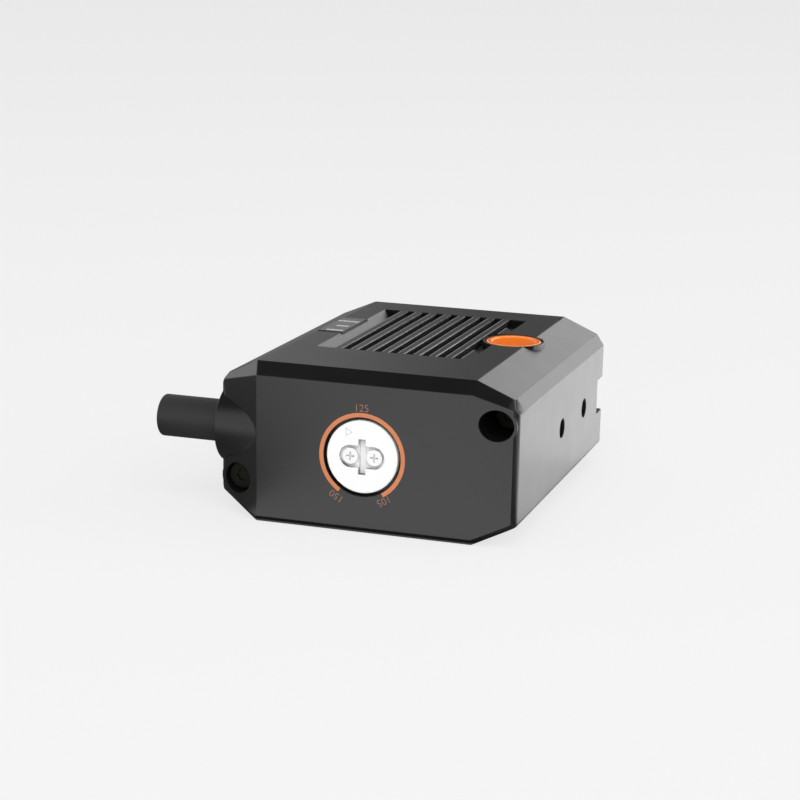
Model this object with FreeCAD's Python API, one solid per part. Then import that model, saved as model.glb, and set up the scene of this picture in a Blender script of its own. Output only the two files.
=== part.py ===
import FreeCAD, Part
import math
import os

from FreeCAD import Vector

# Fixed-mount barcode reader, in millimetres.
# X is across the body, +Y is the reading direction, +Z is up.
# The origin is the middle of the housing's bottom face.
# Distances called depth are measured from the rear face, the one that carries the focus dial.

# Body
body_width = 42.0
body_depth = 48.0
body_height = 21.7
top_flat_width = 29.7
top_slope_drop = 2.65
bottom_flat_width = 30.0
bottom_slope_rise = 3.4
side_facet = 1.15
bottom_round = 0.8
side_wall = 1.8
roof_thickness = 2.6
rear_wall = 2.6

# Bevels round the rear face, and the canted corner that the cable boss stands in
top_bevel_depth = 1.75
top_bevel_drop = 1.65
side_bevel = 0.65
slope_bevel_drop = 0.75
bottom_bevel_depth = 0.35
bottom_bevel_rise = 0.6
under_bevel_rise = 0.45
cable_corner_depth = 2.46

# Heat-sink pocket in the top face and its fins
pocket_left = 11.45
pocket_right = 10.45
pocket_start = 13.2
pocket_front_margin = 2.4
pocket_depth = 1.05
pocket_ramp = 1.0
fin_count = 8
fin_pitch = 2.25
fin_thickness = 0.9
fin_row_shift = -0.375

# Long screws that clamp the bezel, in two opposite corners
screw_inset = 2.95
screw_rise = 5.5
screw_radius = 1.0
screw_head_radius = 1.9
screw_head_height = 2.0
hex_socket_width = 1.5
hex_socket_depth = 1.0
counterbore_radius = 2.05
counterbore_depth = 9.9
counterbore_floor = 1.5
screw_boss_wall = 0.7
screw_column_wall = 0.8
insert_radius = 1.6
insert_length = 2.9

# Tapped mounting holes in the sides
side_hole_radius = 1.25
side_hole_depth = 4.5
side_hole_spacing = 12.8
side_hole_middle = 29.8
side_hole_floor = 0.6
side_boss_radius = 2.6

# Front bezel and window
bezel_depth = 3.4
bezel_frame_side = 6.0
bezel_frame_top = 3.1
bezel_frame_bottom = 3.2
bezel_edge_bevel = 0.3
notch_height = 5.0
notch_width = 1.1
notch_drop = 0.2
seam_gap = 0.1
gasket_sink = 0.3
gasket_setback = 0.65
window_thickness = 1.5
window_ledge = 0.9
window_setback = 0.3
window_corner = 2.0
window_gasket_thickness = 0.4

# Focus dial and spindle
dial_radius = 4.9
dial_thickness = 1.3
dial_drop = 0.45
dial_rim_gap = 0.42
dial_edge_bevel = 0.12
dial_recess_length = 6.2
dial_recess_width = 3.0
dial_recess_depth = 0.6
dial_slot_length = 4.75
dial_slot_width = 1.0
dial_slot_depth = 0.85
dial_screw_spacing = 3.32
dial_screw_head_radius = 1.1
dial_screw_head_height = 0.5
dial_screw_radius = 0.6
dial_screw_length = 1.5
cross_width = 0.16
cross_length = 1.1
cross_depth = 0.25
flange_radius = 3.0
flange_thickness = 1.0
spindle_radius = 1.5
journal_radius = 1.0
journal_length = 2.8
spindle_lead = 0.5
dial_turn_to_far = 117.0
dial_turn_to_near = 179.0
hub_wall = 1.7
hub_depth = 7.0
seal_cord = 0.96
bush_wall = 1.0
clip_thickness = 0.5
clip_radius = 2.8
clip_groove_depth = 0.35
clip_mouth = 1.6

# Lens carriage and lenses
lens_drop = 2.2
barrel_radius = 4.5
barrel_wall = 0.9
barrel_length = 11.2
barrel_setback = 0.6
barrel_rear_stop = 1.2
lens_rim = 1.2
lens_bulge = 0.7
lens_opening_radius = 2.9
retainer_thickness = 1.0
nut_radius = 2.2
arm_thickness = 4.0
arm_setback = 4.8
arm_gap = 0.4
arm_stop_room = 0.3

# Lens block
block_side_wall = 1.2
block_rail_gap = 0.9
block_roof = 1.0
block_right_wall = 1.2
corner_wall = 0.23
corner_angle = 42.0

# Boards and chips
board_thickness = 1.2
sensor_board_thickness = 1.0
sensor_board_margin = 0.6
sensor_size = 6.2
sensor_height = 1.2
sensor_air = 0.84
processor_size = 10.0
processor_height = 1.6
processor_gap = 0.3
memory_width = 7.0
memory_length = 9.0
memory_height = 1.1
rail_overlap = 0.8
rail_height = 1.5
small_screw_radius = 0.8
small_screw_head_radius = 1.4
small_screw_head_height = 0.8
small_screw_length = 4.0
board_screw_length = 3.0
flex_thickness = 0.3
flex_width = 5.0
flex_bend = 2.5
flex_drop = 5.0
flex_end_gap = 1.0

# Illumination and aimer
light_space = 3.0
led_rows = 2
led_gap = 0.8
led_row_pitch = 5.6
led_width = 2.8
led_length = 3.5
led_height = 1.0
light_lens_wall = 0.7
light_lens_depth = 2.3
light_lens_plate = 1.0
light_dome_radius = 1.6
light_dome_top = 0.8
light_dome_rise = 0.45
light_connector_width = 8.0
light_connector_length = 3.5
light_connector_height = 2.5
aimer_radius = 2.2
aimer_length = 9.5
aimer_reach = 1.3
aimer_lift = 0.6
aimer_side_gap = 0.65
aimer_mouth_radius = 1.3
aimer_mouth_depth = 1.0

# Trigger button and its switch
trigger_inset = 8.45
trigger_depth = 27.7
trigger_radius = 3.8
trigger_gap = 0.15
trigger_sink = 0.1
trigger_skirt = 1.2
trigger_edge_bevel = 0.25
trigger_dish = 0.2
trigger_dish_radius = 3.3
trigger_travel = 0.4
turret_wall = 0.35
trigger_well = 2.1
stem_radius = 1.5
guide_wall = 1.4
guide_drop = 1.0
trigger_seal_cord = 0.4
switch_size = 4.5
switch_height = 1.8
plunger_radius = 1.1
plunger_rise = 0.6
plunger_sink = 0.5

# Status indicator beside the fins
indicator_edge = 0.12
indicator_length = 10.2
indicator_start = 22.9
indicator_fin_gap = 0.1
indicator_well = 0.8
indicator_proud = 0.03
indicator_rim_gap = 0.06
guide_plate = 0.5
pipe_count = 3
pipe_radius = 0.6
pipe_pitch = 3.2
pipe_led_gap = 0.25
status_led_width = 1.6
status_led_length = 0.8
status_led_height = 0.7

# Cable and the boss that it comes out of
boss_radius = 5.25
boss_setback = 0.05
boss_reach = 3.2
cable_rise = 1.15
cable_radius = 2.88
cable_stub = 9.6
jacket_wall = 0.6
shield_wall = 0.3
core_radius = 0.55
core_ring_radius = 1.15
core_count = 4
core_bend = 3.0
core_lead = 1.2
grommet_wall = 1.0
grommet_setback = 0.3
grommet_flange = 1.0
grommet_flange_rise = 0.3
ferrule_wall = 0.6
ferrule_length = 2.2
plug_width = 6.4
plug_length = 2.5
plug_height = 2.8
header_width = 8.0
header_spindle_gap = 1.3
header_length = 3.5
header_height = 3.4
board_lip = 0.5

# Fits
running_fit = 0.03
press_gap = 0.02
bore_gap = 0.05
screw_gap = 0.1
board_gap = 0.2
seat_gap = 0.1
side_gap = 0.5

# Values worked out from the driving sizes
rear = -body_depth / 2
front = body_depth / 2
half_width = body_width / 2
top_edge = top_flat_width / 2
bottom_edge = bottom_flat_width / 2
bevel_edge = half_width - side_bevel
middle_height = body_height / 2
ceiling = body_height - roof_thickness
floor = side_wall
inner_wall = half_width - side_wall
cut_over = 1.0
fuse_depth = 0.5
bezel_rear = front - bezel_depth
seam = bezel_rear - seam_gap
gasket_floor = bezel_rear + gasket_sink

screw_x = half_width - screw_inset
screw_places = [(screw_x, middle_height + screw_rise), (-screw_x, middle_height - screw_rise)]
column_radius = screw_radius + screw_gap + screw_column_wall

dial_height = middle_height - dial_drop
flange_depth = dial_thickness + flange_thickness
bore_start = flange_depth + seat_gap
bush_radius = spindle_radius + bush_wall
hub_radius = bush_radius + press_gap + hub_wall
clip_depth = hub_depth + seat_gap
focus_back = spindle_lead * dial_turn_to_far / 360
focus_forward = spindle_lead * dial_turn_to_near / 360

board_half = screw_x - column_radius - side_gap
rail_edge = board_half - rail_overlap
light_half = rail_edge - board_gap
light_board_front = seam - light_space
block_front = light_board_front - board_thickness
bore_radius = barrel_radius + bore_gap
block_left = block_rail_gap - rail_edge
lens_x = block_left + block_side_wall + bore_radius
lens_height = dial_height - lens_drop
slot_low = dial_height - nut_radius - arm_gap
slot_high = dial_height + nut_radius + arm_gap
block_top = slot_high + block_roof
block_right = nut_radius + block_right_wall
barrel_front = block_front - barrel_setback
barrel_rear = barrel_front - barrel_length
block_rear = barrel_rear - focus_back - sensor_air - sensor_height
lens_radius = barrel_radius - barrel_wall - bore_gap
arm_front = block_front - arm_setback
arm_rear = arm_front - arm_thickness
spindle_tip = block_front - board_gap
aimer_height = floor + aimer_lift + aimer_radius
corner_reach = bore_radius + small_screw_radius + bore_gap + corner_wall
small_screw_edge = small_screw_head_radius + sensor_board_margin

board_low = block_top
board_top = board_low + board_thickness
board_screw_rear = block_rear + small_screw_edge
processor_front = board_screw_rear - small_screw_head_radius - processor_gap
processor_y = processor_front - processor_size / 2
cable_depth = boss_radius + boss_setback
cable_y = rear + cable_depth
cable_height = middle_height + cable_rise
plug_rear = cable_y + core_bend + core_lead
header_rear = plug_rear + plug_length
header_front = header_rear + header_length
board_rear = header_rear - board_lip
boss_end = boss_reach - inner_wall
plug_middle = -spindle_radius - header_spindle_gap - header_width / 2
sensor_board_right = -spindle_radius - board_gap - side_gap
sensor_board_rear = block_rear - sensor_board_thickness

trigger_x = half_width - trigger_inset
trigger_y = rear + trigger_depth
well_radius = trigger_radius + trigger_gap
turret_radius = well_radius + turret_wall
trigger_top = body_height - trigger_sink
well_floor = body_height - trigger_well
switch_top = board_top + switch_height
plunger_top = switch_top + plunger_rise
guide_hole_radius = stem_radius + running_fit

indicator_right = -pocket_left - indicator_fin_gap
indicator_left = indicator_edge - top_edge
indicator_rear = rear + indicator_start
indicator_front = indicator_rear + indicator_length
indicator_x = (indicator_left + indicator_right) / 2
indicator_y = (indicator_rear + indicator_front) / 2
well_bottom = body_height - indicator_well
pipe_bottom = board_top + status_led_height + pipe_led_gap
pipe_start = indicator_y - (pipe_count - 1) / 2 * pipe_pitch
pipe_places = [pipe_start + step * pipe_pitch for step in range(pipe_count)]


def depth(distance):
    """Y of a plane that lies a distance in from the rear face."""
    return rear + distance


def box(x0, x1, y0, y1, z0, z1):
    """Block between two opposite corners."""
    return Part.makeBox(x1 - x0, y1 - y0, z1 - z0, Vector(x0, y0, z0))


def rod_x(y, z, radius, x0, x1):
    """Round bar along X."""
    return Part.makeCylinder(radius, x1 - x0, Vector(x0, y, z), Vector(1, 0, 0))


def rod_y(x, z, radius, y0, y1):
    """Round bar along Y."""
    return Part.makeCylinder(radius, y1 - y0, Vector(x, y0, z), Vector(0, 1, 0))


def rod_z(x, y, radius, z0, z1):
    """Round bar along Z."""
    return Part.makeCylinder(radius, z1 - z0, Vector(x, y, z0), Vector(0, 0, 1))


def tube_y(x, z, outer, inner, y0, y1):
    """Round tube along Y."""
    return rod_y(x, z, outer, y0, y1).cut(rod_y(x, z, inner, y0, y1))


def tube_x(y, z, outer, inner, x0, x1):
    """Round tube along X."""
    return rod_x(y, z, outer, x0, x1).cut(rod_x(y, z, inner, x0, x1))


def in_space(axis, u, v, along):
    """Point of an outline drawn square to an axis, at a place along that axis."""
    if axis == "x":
        return Vector(along, u, v)
    if axis == "y":
        return Vector(u, along, v)
    return Vector(u, v, along)


def prism(axis, corners, low, high, radii=None):
    """Solid along an axis from an outline of corners, each rounded by its own radius."""
    radii = radii or [0.0] * len(corners)
    points = [in_space(axis, u, v, low) for u, v in corners]
    edges = []
    spans = []
    for index, corner in enumerate(points):
        before = (points[index - 1] - corner).normalize()
        after = (points[(index + 1) % len(points)] - corner).normalize()
        half_angle = before.getAngle(after) / 2
        tangent = radii[index] / math.tan(half_angle)
        start = corner + before * tangent
        end = corner + after * tangent
        inward = (before + after).normalize()
        crown = corner + inward * (radii[index] / math.sin(half_angle) - radii[index])
        spans.append((start, crown, end))
    for index, (start, crown, end) in enumerate(spans):
        if radii[index] > 0:
            edges.append(Part.Arc(start, crown, end).toShape())
        next_start = spans[(index + 1) % len(spans)][0]
        edges.append(Part.LineSegment(end, next_start).toShape())
    face = Part.Face(Part.Wire(edges))
    return face.extrude(in_space(axis, 0, 0, high - low))


def plate_y(x0, x1, z0, z1, y0, y1, corner):
    """Plate square to Y with four equally rounded corners."""
    outline = [(x0, z0), (x1, z0), (x1, z1), (x0, z1)]
    return prism("y", outline, y0, y1, [corner] * 4)


def trim(shape, a, b, c):
    """Cut away what lies beyond the plane through three points, seen from the body's middle."""
    reach = 2 * (body_width + body_depth + body_height)
    normal = (b - a).cross(c - a).normalize()
    if normal.dot(Vector(0, 0, middle_height) - a) > 0:
        normal = -normal
    waste = Part.makeBox(2 * reach, 2 * reach, reach, Vector(-reach, -reach, 0))
    waste.Placement = FreeCAD.Placement(a, FreeCAD.Rotation(Vector(0, 0, 1), normal))
    return shape.cut(waste)


def meet(first, second):
    """Crossing point of two outline walls, each given as normal x, normal z and distance."""
    scale = first[0] * second[1] - first[1] * second[0]
    x = (first[2] * second[1] - first[1] * second[2]) / scale
    z = (first[0] * second[2] - first[2] * second[0]) / scale
    return (x, z)


def section(side=0.0, top=0.0, bottom=0.0):
    """Eight corners of the body's section, set in from its outside by three wall thicknesses."""
    upper = math.atan2(top_slope_drop, half_width - top_edge)
    lower = math.atan2(bottom_slope_rise, half_width - bottom_edge)
    upper_reach = math.sin(upper) * top_edge + math.cos(upper) * body_height
    walls = [
        (0.0, 1.0, body_height - top),
        (math.sin(upper), math.cos(upper), upper_reach - side),
        (1.0, 0.0, half_width - side),
        (math.sin(lower), -math.cos(lower), math.sin(lower) * bottom_edge - side),
        (0.0, -1.0, -bottom),
    ]
    right = [meet(walls[index], walls[index + 1]) for index in range(4)]
    left = [(-x, z) for x, z in reversed(right)]
    return right + left


def step_from(corner, target, distance):
    """Point of an outline at a distance from one corner towards another."""
    share = distance / math.dist(corner, target)
    return (corner[0] + (target[0] - corner[0]) * share, corner[1] + (target[1] - corner[1]) * share)


def outer_prism(y0, y1):
    """Length of the body's full section: flat facets on the upper side corners, rounded lower ones."""
    crest, shoulder, hip, foot = section()[:4]
    facet = [step_from(shoulder, crest, side_facet), step_from(shoulder, hip, side_facet)]
    right = [crest] + facet + [hip, foot]
    left = [(-x, z) for x, z in reversed(right)]
    rounds = [0.0, 0.0, 0.0, bottom_round, 0.0]
    return prism("y", right + left, y0, y1, rounds + rounds[::-1])


def slope_height(x):
    """Height of the upper slope at a distance from the middle."""
    return body_height - (x - top_edge) * top_slope_drop / (half_width - top_edge)


def under_height(x):
    """Height of the lower slope at a distance from the middle."""
    return (x - bottom_edge) * bottom_slope_rise / (half_width - bottom_edge)


def corner_setback(x):
    """How far the canted cable corner lies in from the rear face, at a distance from the middle."""
    return (x - top_edge) * cable_corner_depth / (half_width - top_edge)


def rear_point(x, setback, z):
    """Point near the rear face."""
    return Vector(x, depth(setback), z)


def housing_outside():
    """Outer form of the housing, with its bevelled rear end, canted corner and screw bosses."""
    top_crest = body_height - top_bevel_drop
    slope_end = slope_height(bevel_edge) - slope_bevel_drop
    under_end = under_height(bevel_edge) + under_bevel_rise
    cant = corner_setback(bevel_edge)
    solid = outer_prism(rear, seam)
    planes = [
        [(0, top_bevel_depth, body_height), (0, 0, top_crest), (1, 0, top_crest)],
        [(0, bottom_bevel_depth, 0), (0, 0, bottom_bevel_rise), (1, 0, bottom_bevel_rise)],
        [(-top_edge, 0, 0), (-top_edge, 0, 1), (-half_width, cable_corner_depth, 0)],
    ]
    for side, setback in ((1, 0.0), (-1, cant)):
        upper = side * top_edge
        lower = side * bottom_edge
        end = side * bevel_edge
        top_face = [(upper, top_bevel_depth, body_height), (upper, 0, top_crest)]
        bottom_face = [(lower, bottom_bevel_depth, 0), (lower, 0, bottom_bevel_rise)]
        planes.append(top_face + [(end, setback, slope_end)])
        planes.append(bottom_face + [(end, setback, under_end)])
    for a, b, c in planes:
        solid = trim(solid, rear_point(*a), rear_point(*b), rear_point(*c))
    bosses = [boss.common(solid) for boss in screw_bosses(rear)]
    right_bevel = [(bevel_edge, 0, 0), (bevel_edge, 0, 1), (half_width, side_bevel, 0)]
    left_end = cable_corner_depth + side_bevel
    left_bevel = [(-bevel_edge, cant, 0), (-bevel_edge, cant, 1), (-half_width, left_end, 0)]
    for a, b, c in (right_bevel, left_bevel):
        solid = trim(solid, rear_point(*a), rear_point(*b), rear_point(*c))
    return solid.multiFuse(bosses)


def screw_bosses(start):
    """Round bosses that the counterbores are sunk in, from a start plane to below their floors."""
    end = depth(counterbore_depth + counterbore_floor)
    return [rod_y(x, z, counterbore_radius + screw_boss_wall, start, end) for x, z in screw_places]


def heat_sink(solid):
    """Sink the fin pocket in the top face and stand the fins in it."""
    pocket_floor = body_height - pocket_depth
    start = depth(pocket_start)
    end = seam - pocket_front_margin
    outline = [
        (-pocket_left, body_height),
        (pocket_ramp - pocket_left, pocket_floor),
        (pocket_right, pocket_floor),
        (pocket_right, body_height + cut_over),
        (-pocket_left, body_height + cut_over),
    ]
    solid = solid.cut(prism("y", outline, start, end))
    fins = []
    fin_root = pocket_floor - fuse_depth
    for index in range(fin_count):
        x = fin_row_shift + (index - (fin_count - 1) / 2) * fin_pitch - fin_thickness / 2
        fin = box(x, x + fin_thickness, start - fuse_depth, end + fuse_depth, fin_root, body_height)
        fins.append(fin)
    return solid.multiFuse(fins)


def main_housing():
    """Die-cast housing, open at the front, with every boss and bore that the other pieces sit in."""
    cavity = prism("y", section(side_wall, roof_thickness, side_wall), depth(rear_wall), seam)
    solid = housing_outside().cut(cavity)
    rail_low = board_low - rail_height
    full_body = outer_prism(rear, seam)
    hole_boss_end = half_width - side_hole_depth - side_hole_floor
    added = [rod_x(cable_y, cable_height, boss_radius, -half_width, -top_edge)]
    added.append(rod_y(0, dial_height, hub_radius, depth(rear_wall - fuse_depth), depth(hub_depth)))
    for x, z in screw_places:
        added.append(rod_y(x, z, column_radius, depth(counterbore_depth), seam))
    added += [boss.common(full_body) for boss in screw_bosses(depth(rear_wall))]
    for side in (-1, 1):
        ledge = sorted([side * rail_edge, side * (inner_wall + fuse_depth)])
        added.append(box(ledge[0], ledge[1], board_rear, seam - side_gap, rail_low, board_low))
        for step in (-0.5, 0.5):
            y = depth(side_hole_middle) + step * side_hole_spacing
            reach = sorted([side * hole_boss_end, side * (inner_wall + fuse_depth)])
            added.append(rod_x(y, middle_height, side_boss_radius, reach[0], reach[1]))
    solid = heat_sink(solid.multiFuse(added))
    turret = rod_z(trigger_x, trigger_y, turret_radius, ceiling, body_height)
    guide_radius = stem_radius + guide_wall
    guide = rod_z(trigger_x, trigger_y, guide_radius, ceiling - guide_drop, ceiling + fuse_depth)
    return solid.multiFuse([turret, guide]).cut(Part.makeCompound(housing_bores())).removeSplitter()


def housing_bores():
    """Every hole, well and recess that is cut in the housing."""
    outside_left = -half_width - cut_over
    above = body_height + cut_over
    dial_floor = depth(dial_thickness + seat_gap)
    grommet_bore = cable_radius + grommet_wall + bore_gap
    flange_relief = cable_radius + grommet_wall + grommet_flange_rise + seat_gap
    bores = [
        rod_x(cable_y, cable_height, grommet_bore, outside_left, boss_end + cut_over),
        rod_x(cable_y, cable_height, flange_relief, boss_end, ferrule_end() + seat_gap),
        rod_y(0, dial_height, dial_radius + dial_rim_gap, rear - cut_over, dial_floor),
        rod_y(0, dial_height, flange_radius + board_gap, rear, depth(bore_start)),
        rod_y(0, dial_height, bush_radius + press_gap, rear, depth(hub_depth + cut_over)),
        rod_z(trigger_x, trigger_y, well_radius, well_floor, above),
        rod_z(trigger_x, trigger_y, guide_hole_radius, ceiling - guide_drop - cut_over, body_height),
        box(indicator_left, indicator_right, indicator_rear, indicator_front, well_bottom, above),
    ]
    for x, z in screw_places:
        bores.append(rod_y(x, z, counterbore_radius, rear - cut_over, depth(counterbore_depth)))
        bores.append(rod_y(x, z, screw_radius + screw_gap, rear, seam + cut_over))
    for side in (-1, 1):
        for step in (-0.5, 0.5):
            y = depth(side_hole_middle) + step * side_hole_spacing
            reach = sorted([side * (half_width - side_hole_depth), side * (half_width + cut_over)])
            bores.append(rod_x(y, middle_height, side_hole_radius, reach[0], reach[1]))
    for y in pipe_places:
        bores.append(rod_z(indicator_x, y, pipe_radius + screw_gap, ceiling - cut_over, body_height))
    return bores


def front_bezel():
    """Frame that closes the front, with the window's rebate, side notches and insert holes."""
    solid = outer_prism(bezel_rear, front)
    outline = [edge for edge in solid.Edges if edge.BoundBox.YMin > front - press_gap]
    solid = solid.makeChamfer(bezel_edge_bevel, outline)
    seat_depth = window_setback + window_thickness + window_gasket_thickness
    cuts = [
        window_plate(bezel_rear - cut_over, front, window_ledge),
        window_plate(front - seat_depth, front + cut_over, 0.0),
    ]
    for x, z in screw_places:
        cuts.append(rod_y(x, z, insert_radius, bezel_rear - cut_over, bezel_rear + insert_length))
    solid = solid.cut(gasket_ring())
    return solid.cut(Part.makeCompound(cuts + side_notches()))


def side_notches():
    """Blocks that clear the two notches in the bezel's sides."""
    middle = middle_height - notch_drop
    low = middle - notch_height / 2
    blocks = []
    for side in (-1, 1):
        reach = sorted([side * (half_width - notch_width), side * (half_width + cut_over)])
        blocks.append(box(reach[0], reach[1], seam, front + cut_over, low, low + notch_height))
    return blocks


def gasket_ring():
    """Ring from the housing's open end to the floor of the bezel's groove."""
    outside = prism("y", section(gasket_setback, gasket_setback, gasket_setback), seam, gasket_floor)
    inside = prism("y", section(side_wall, roof_thickness, side_wall), seam, gasket_floor)
    return outside.cut(inside)


def bezel_gasket():
    """Seal in the bezel's groove that the housing's open end presses on."""
    return gasket_ring().cut(Part.makeCompound(side_notches()))


def bezel_inserts():
    """Threaded inserts in the bezel, below the gasket's groove, that the long screws bite in."""
    outer = insert_radius - press_gap
    inner = screw_radius + bore_gap
    end = bezel_rear + insert_length - seat_gap
    return Part.makeCompound([tube_y(x, z, outer, inner, gasket_floor, end) for x, z in screw_places])


def housing_screws():
    """Long cap screws, each seated on its counterbore's floor, with a hexagon socket."""
    screws = []
    socket_corner = hex_socket_width / math.sqrt(3)
    for x, z in screw_places:
        seat = depth(counterbore_depth)
        top = seat - screw_head_height
        tip = bezel_rear + insert_length - board_gap
        head = rod_y(x, z, screw_head_radius, top, seat)
        outline = []
        for step in range(6):
            turn = math.pi * step / 3
            outline.append((x + socket_corner * math.cos(turn), z + socket_corner * math.sin(turn)))
        socket = prism("y", outline, top - cut_over, top + hex_socket_depth)
        screws.append(head.fuse(rod_y(x, z, screw_radius, seat, tip)).cut(socket))
    return Part.makeCompound(screws)


def window_plate(y0, y1, gap):
    """Plate that fits the bezel's window rebate with a gap all round."""
    side = half_width - bezel_frame_side + window_ledge - gap
    low = bezel_frame_bottom - window_ledge + gap
    high = body_height - bezel_frame_top + window_ledge - gap
    return plate_y(-side, side, low, high, y0, y1, window_corner + window_ledge - gap)


def front_window():
    """Clear window set in the bezel."""
    outer = front - window_setback
    return window_plate(outer - window_thickness, outer, seat_gap)


def window_gasket():
    """Frame-shaped seal behind the window."""
    outer = front - window_setback - window_thickness
    inner = outer - window_gasket_thickness
    return window_plate(inner, outer, seat_gap).cut(window_plate(inner, outer, window_ledge))


def cross_recess(x, z, y):
    """Two crossed slots in a screw head that faces the rear."""
    long_half = cross_length / 2
    thin_half = cross_width / 2
    level = box(x - long_half, x + long_half, y - cut_over, y + cross_depth, z - thin_half, z + thin_half)
    upright = box(x - thin_half, x + thin_half, y - cut_over, y + cross_depth, z - long_half, z + long_half)
    return level.fuse(upright)


def focus_dial():
    """Disc with a driver slot and a long recess for its two screws."""
    disc = rod_y(0, dial_height, dial_radius, rear, depth(dial_thickness))
    rim = [edge for edge in disc.Edges if edge.BoundBox.YMax < depth(press_gap)]
    disc = disc.makeChamfer(dial_edge_bevel, rim)
    half_recess = dial_recess_length / 2
    round_end = dial_recess_width / 2
    recess = plate_y(-half_recess, half_recess, dial_height - round_end, dial_height + round_end,
                     rear - cut_over, depth(dial_recess_depth), round_end - press_gap)
    half_slot = dial_slot_width / 2
    slot_reach = dial_slot_length / 2
    slot = box(-half_slot, half_slot, rear - cut_over, depth(dial_slot_depth),
               dial_height - slot_reach, dial_height + slot_reach)
    cuts = [recess, slot]
    hole = dial_screw_radius + bore_gap
    hole_end = depth(dial_thickness + cut_over)
    for side in (-0.5, 0.5):
        cuts.append(rod_y(side * dial_screw_spacing, dial_height, hole, rear, hole_end))
    return disc.cut(Part.makeCompound(cuts))


def dial_screws():
    """Two cross-head screws that hold the dial to the spindle's flange."""
    screws = []
    seat = depth(dial_recess_depth)
    top = seat - dial_screw_head_height
    for side in (-0.5, 0.5):
        x = side * dial_screw_spacing
        head = rod_y(x, dial_height, dial_screw_head_radius, top, seat)
        shank = rod_y(x, dial_height, dial_screw_radius, seat, seat + dial_screw_length)
        screws.append(head.fuse(shank).cut(cross_recess(x, dial_height, top)))
    return Part.makeCompound(screws)


def focus_spindle():
    """Lead screw with a flange at the dial and a journal at its tip. Its thread is left-handed."""
    pieces = [
        rod_y(0, dial_height, flange_radius, depth(dial_thickness), depth(flange_depth)),
        rod_y(0, dial_height, spindle_radius, depth(flange_depth), spindle_tip - journal_length),
        rod_y(0, dial_height, journal_radius, spindle_tip - journal_length, spindle_tip),
    ]
    solid = pieces[0].multiFuse(pieces[1:])
    groove = tube_y(0, dial_height, spindle_radius + cut_over, spindle_radius - clip_groove_depth,
                    depth(clip_depth), depth(clip_depth + clip_thickness))
    cuts = [groove]
    for side in (-0.5, 0.5):
        x = side * dial_screw_spacing
        end = dial_recess_depth + dial_screw_length + seat_gap
        cuts.append(rod_y(x, dial_height, dial_screw_radius + bore_gap, rear, depth(end)))
    return solid.cut(Part.makeCompound(cuts))


def spindle_clip():
    """Open ring that snaps in the spindle's groove and stops it sliding out."""
    inner = spindle_radius - clip_groove_depth + press_gap
    y0 = depth(clip_depth)
    y1 = y0 + clip_thickness
    ring = tube_y(0, dial_height, clip_radius, inner, y0, y1)
    mouth_low = dial_height - clip_radius - cut_over
    return ring.cut(box(-clip_mouth / 2, clip_mouth / 2, y0, y1, mouth_low, dial_height))


def spindle_seal():
    """Square rubber ring round the spindle behind its flange."""
    inner = spindle_radius + running_fit
    start = depth(bore_start)
    return tube_y(0, dial_height, inner + seal_cord, inner, start, start + seal_cord)


def spindle_bush():
    """Plain bearing that is pressed in the hub."""
    start = depth(bore_start + seal_cord + board_gap)
    return tube_y(0, dial_height, bush_radius, spindle_radius + running_fit, start, depth(hub_depth))


def lens_carriage():
    """Sliding lens barrel with the nut arm that the spindle drives."""
    barrel = rod_y(lens_x, lens_height, barrel_radius, barrel_rear, barrel_front)
    low = dial_height - nut_radius
    arm = box(lens_x, 0, arm_rear, arm_front, low, low + 2 * nut_radius)
    nut = rod_y(0, dial_height, nut_radius, arm_rear, arm_front)
    solid = barrel.multiFuse([arm, nut])
    cuts = [
        rod_y(lens_x, lens_height, lens_radius + bore_gap, rear_lens_seat(), barrel_front + cut_over),
        rod_y(lens_x, lens_height, lens_opening_radius, barrel_rear - cut_over, barrel_front),
        rod_y(0, dial_height, spindle_radius + running_fit, arm_rear - cut_over, arm_front + cut_over),
    ]
    return solid.cut(Part.makeCompound(cuts))


def ball_radius(opening, rise):
    """Radius of the ball whose cap has a given opening radius and rise."""
    return (opening ** 2 + rise ** 2) / (2 * rise)


def lens_element(rim_rear):
    """Double convex lens with a flat cylindrical rim."""
    rim_front = rim_rear + lens_rim
    clear = lens_opening_radius - screw_gap
    ball = ball_radius(clear, lens_bulge)
    rim_middle = (rim_rear + rim_front) / 2
    front_ball = Part.makeSphere(ball, Vector(lens_x, rim_front + lens_bulge - ball, lens_height))
    rear_ball = Part.makeSphere(ball, Vector(lens_x, rim_rear - lens_bulge + ball, lens_height))
    front_cap = front_ball.common(rod_y(lens_x, lens_height, clear, rim_middle, rim_front + cut_over))
    rear_cap = rear_ball.common(rod_y(lens_x, lens_height, clear, rim_rear - cut_over, rim_middle))
    return rod_y(lens_x, lens_height, lens_radius, rim_rear, rim_front).multiFuse([front_cap, rear_cap])


def rear_lens_seat():
    """Y of the stop that the rear lens sits on."""
    return barrel_rear + barrel_rear_stop


def front_lens_seat():
    """Y of the front lens's rear rim."""
    return barrel_front - retainer_thickness - lens_rim


def lens_ring(y0, y1):
    """Ring that fits the barrel's bore and leaves the lenses clear."""
    return tube_y(lens_x, lens_height, lens_radius, lens_opening_radius, y0, y1)


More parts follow.
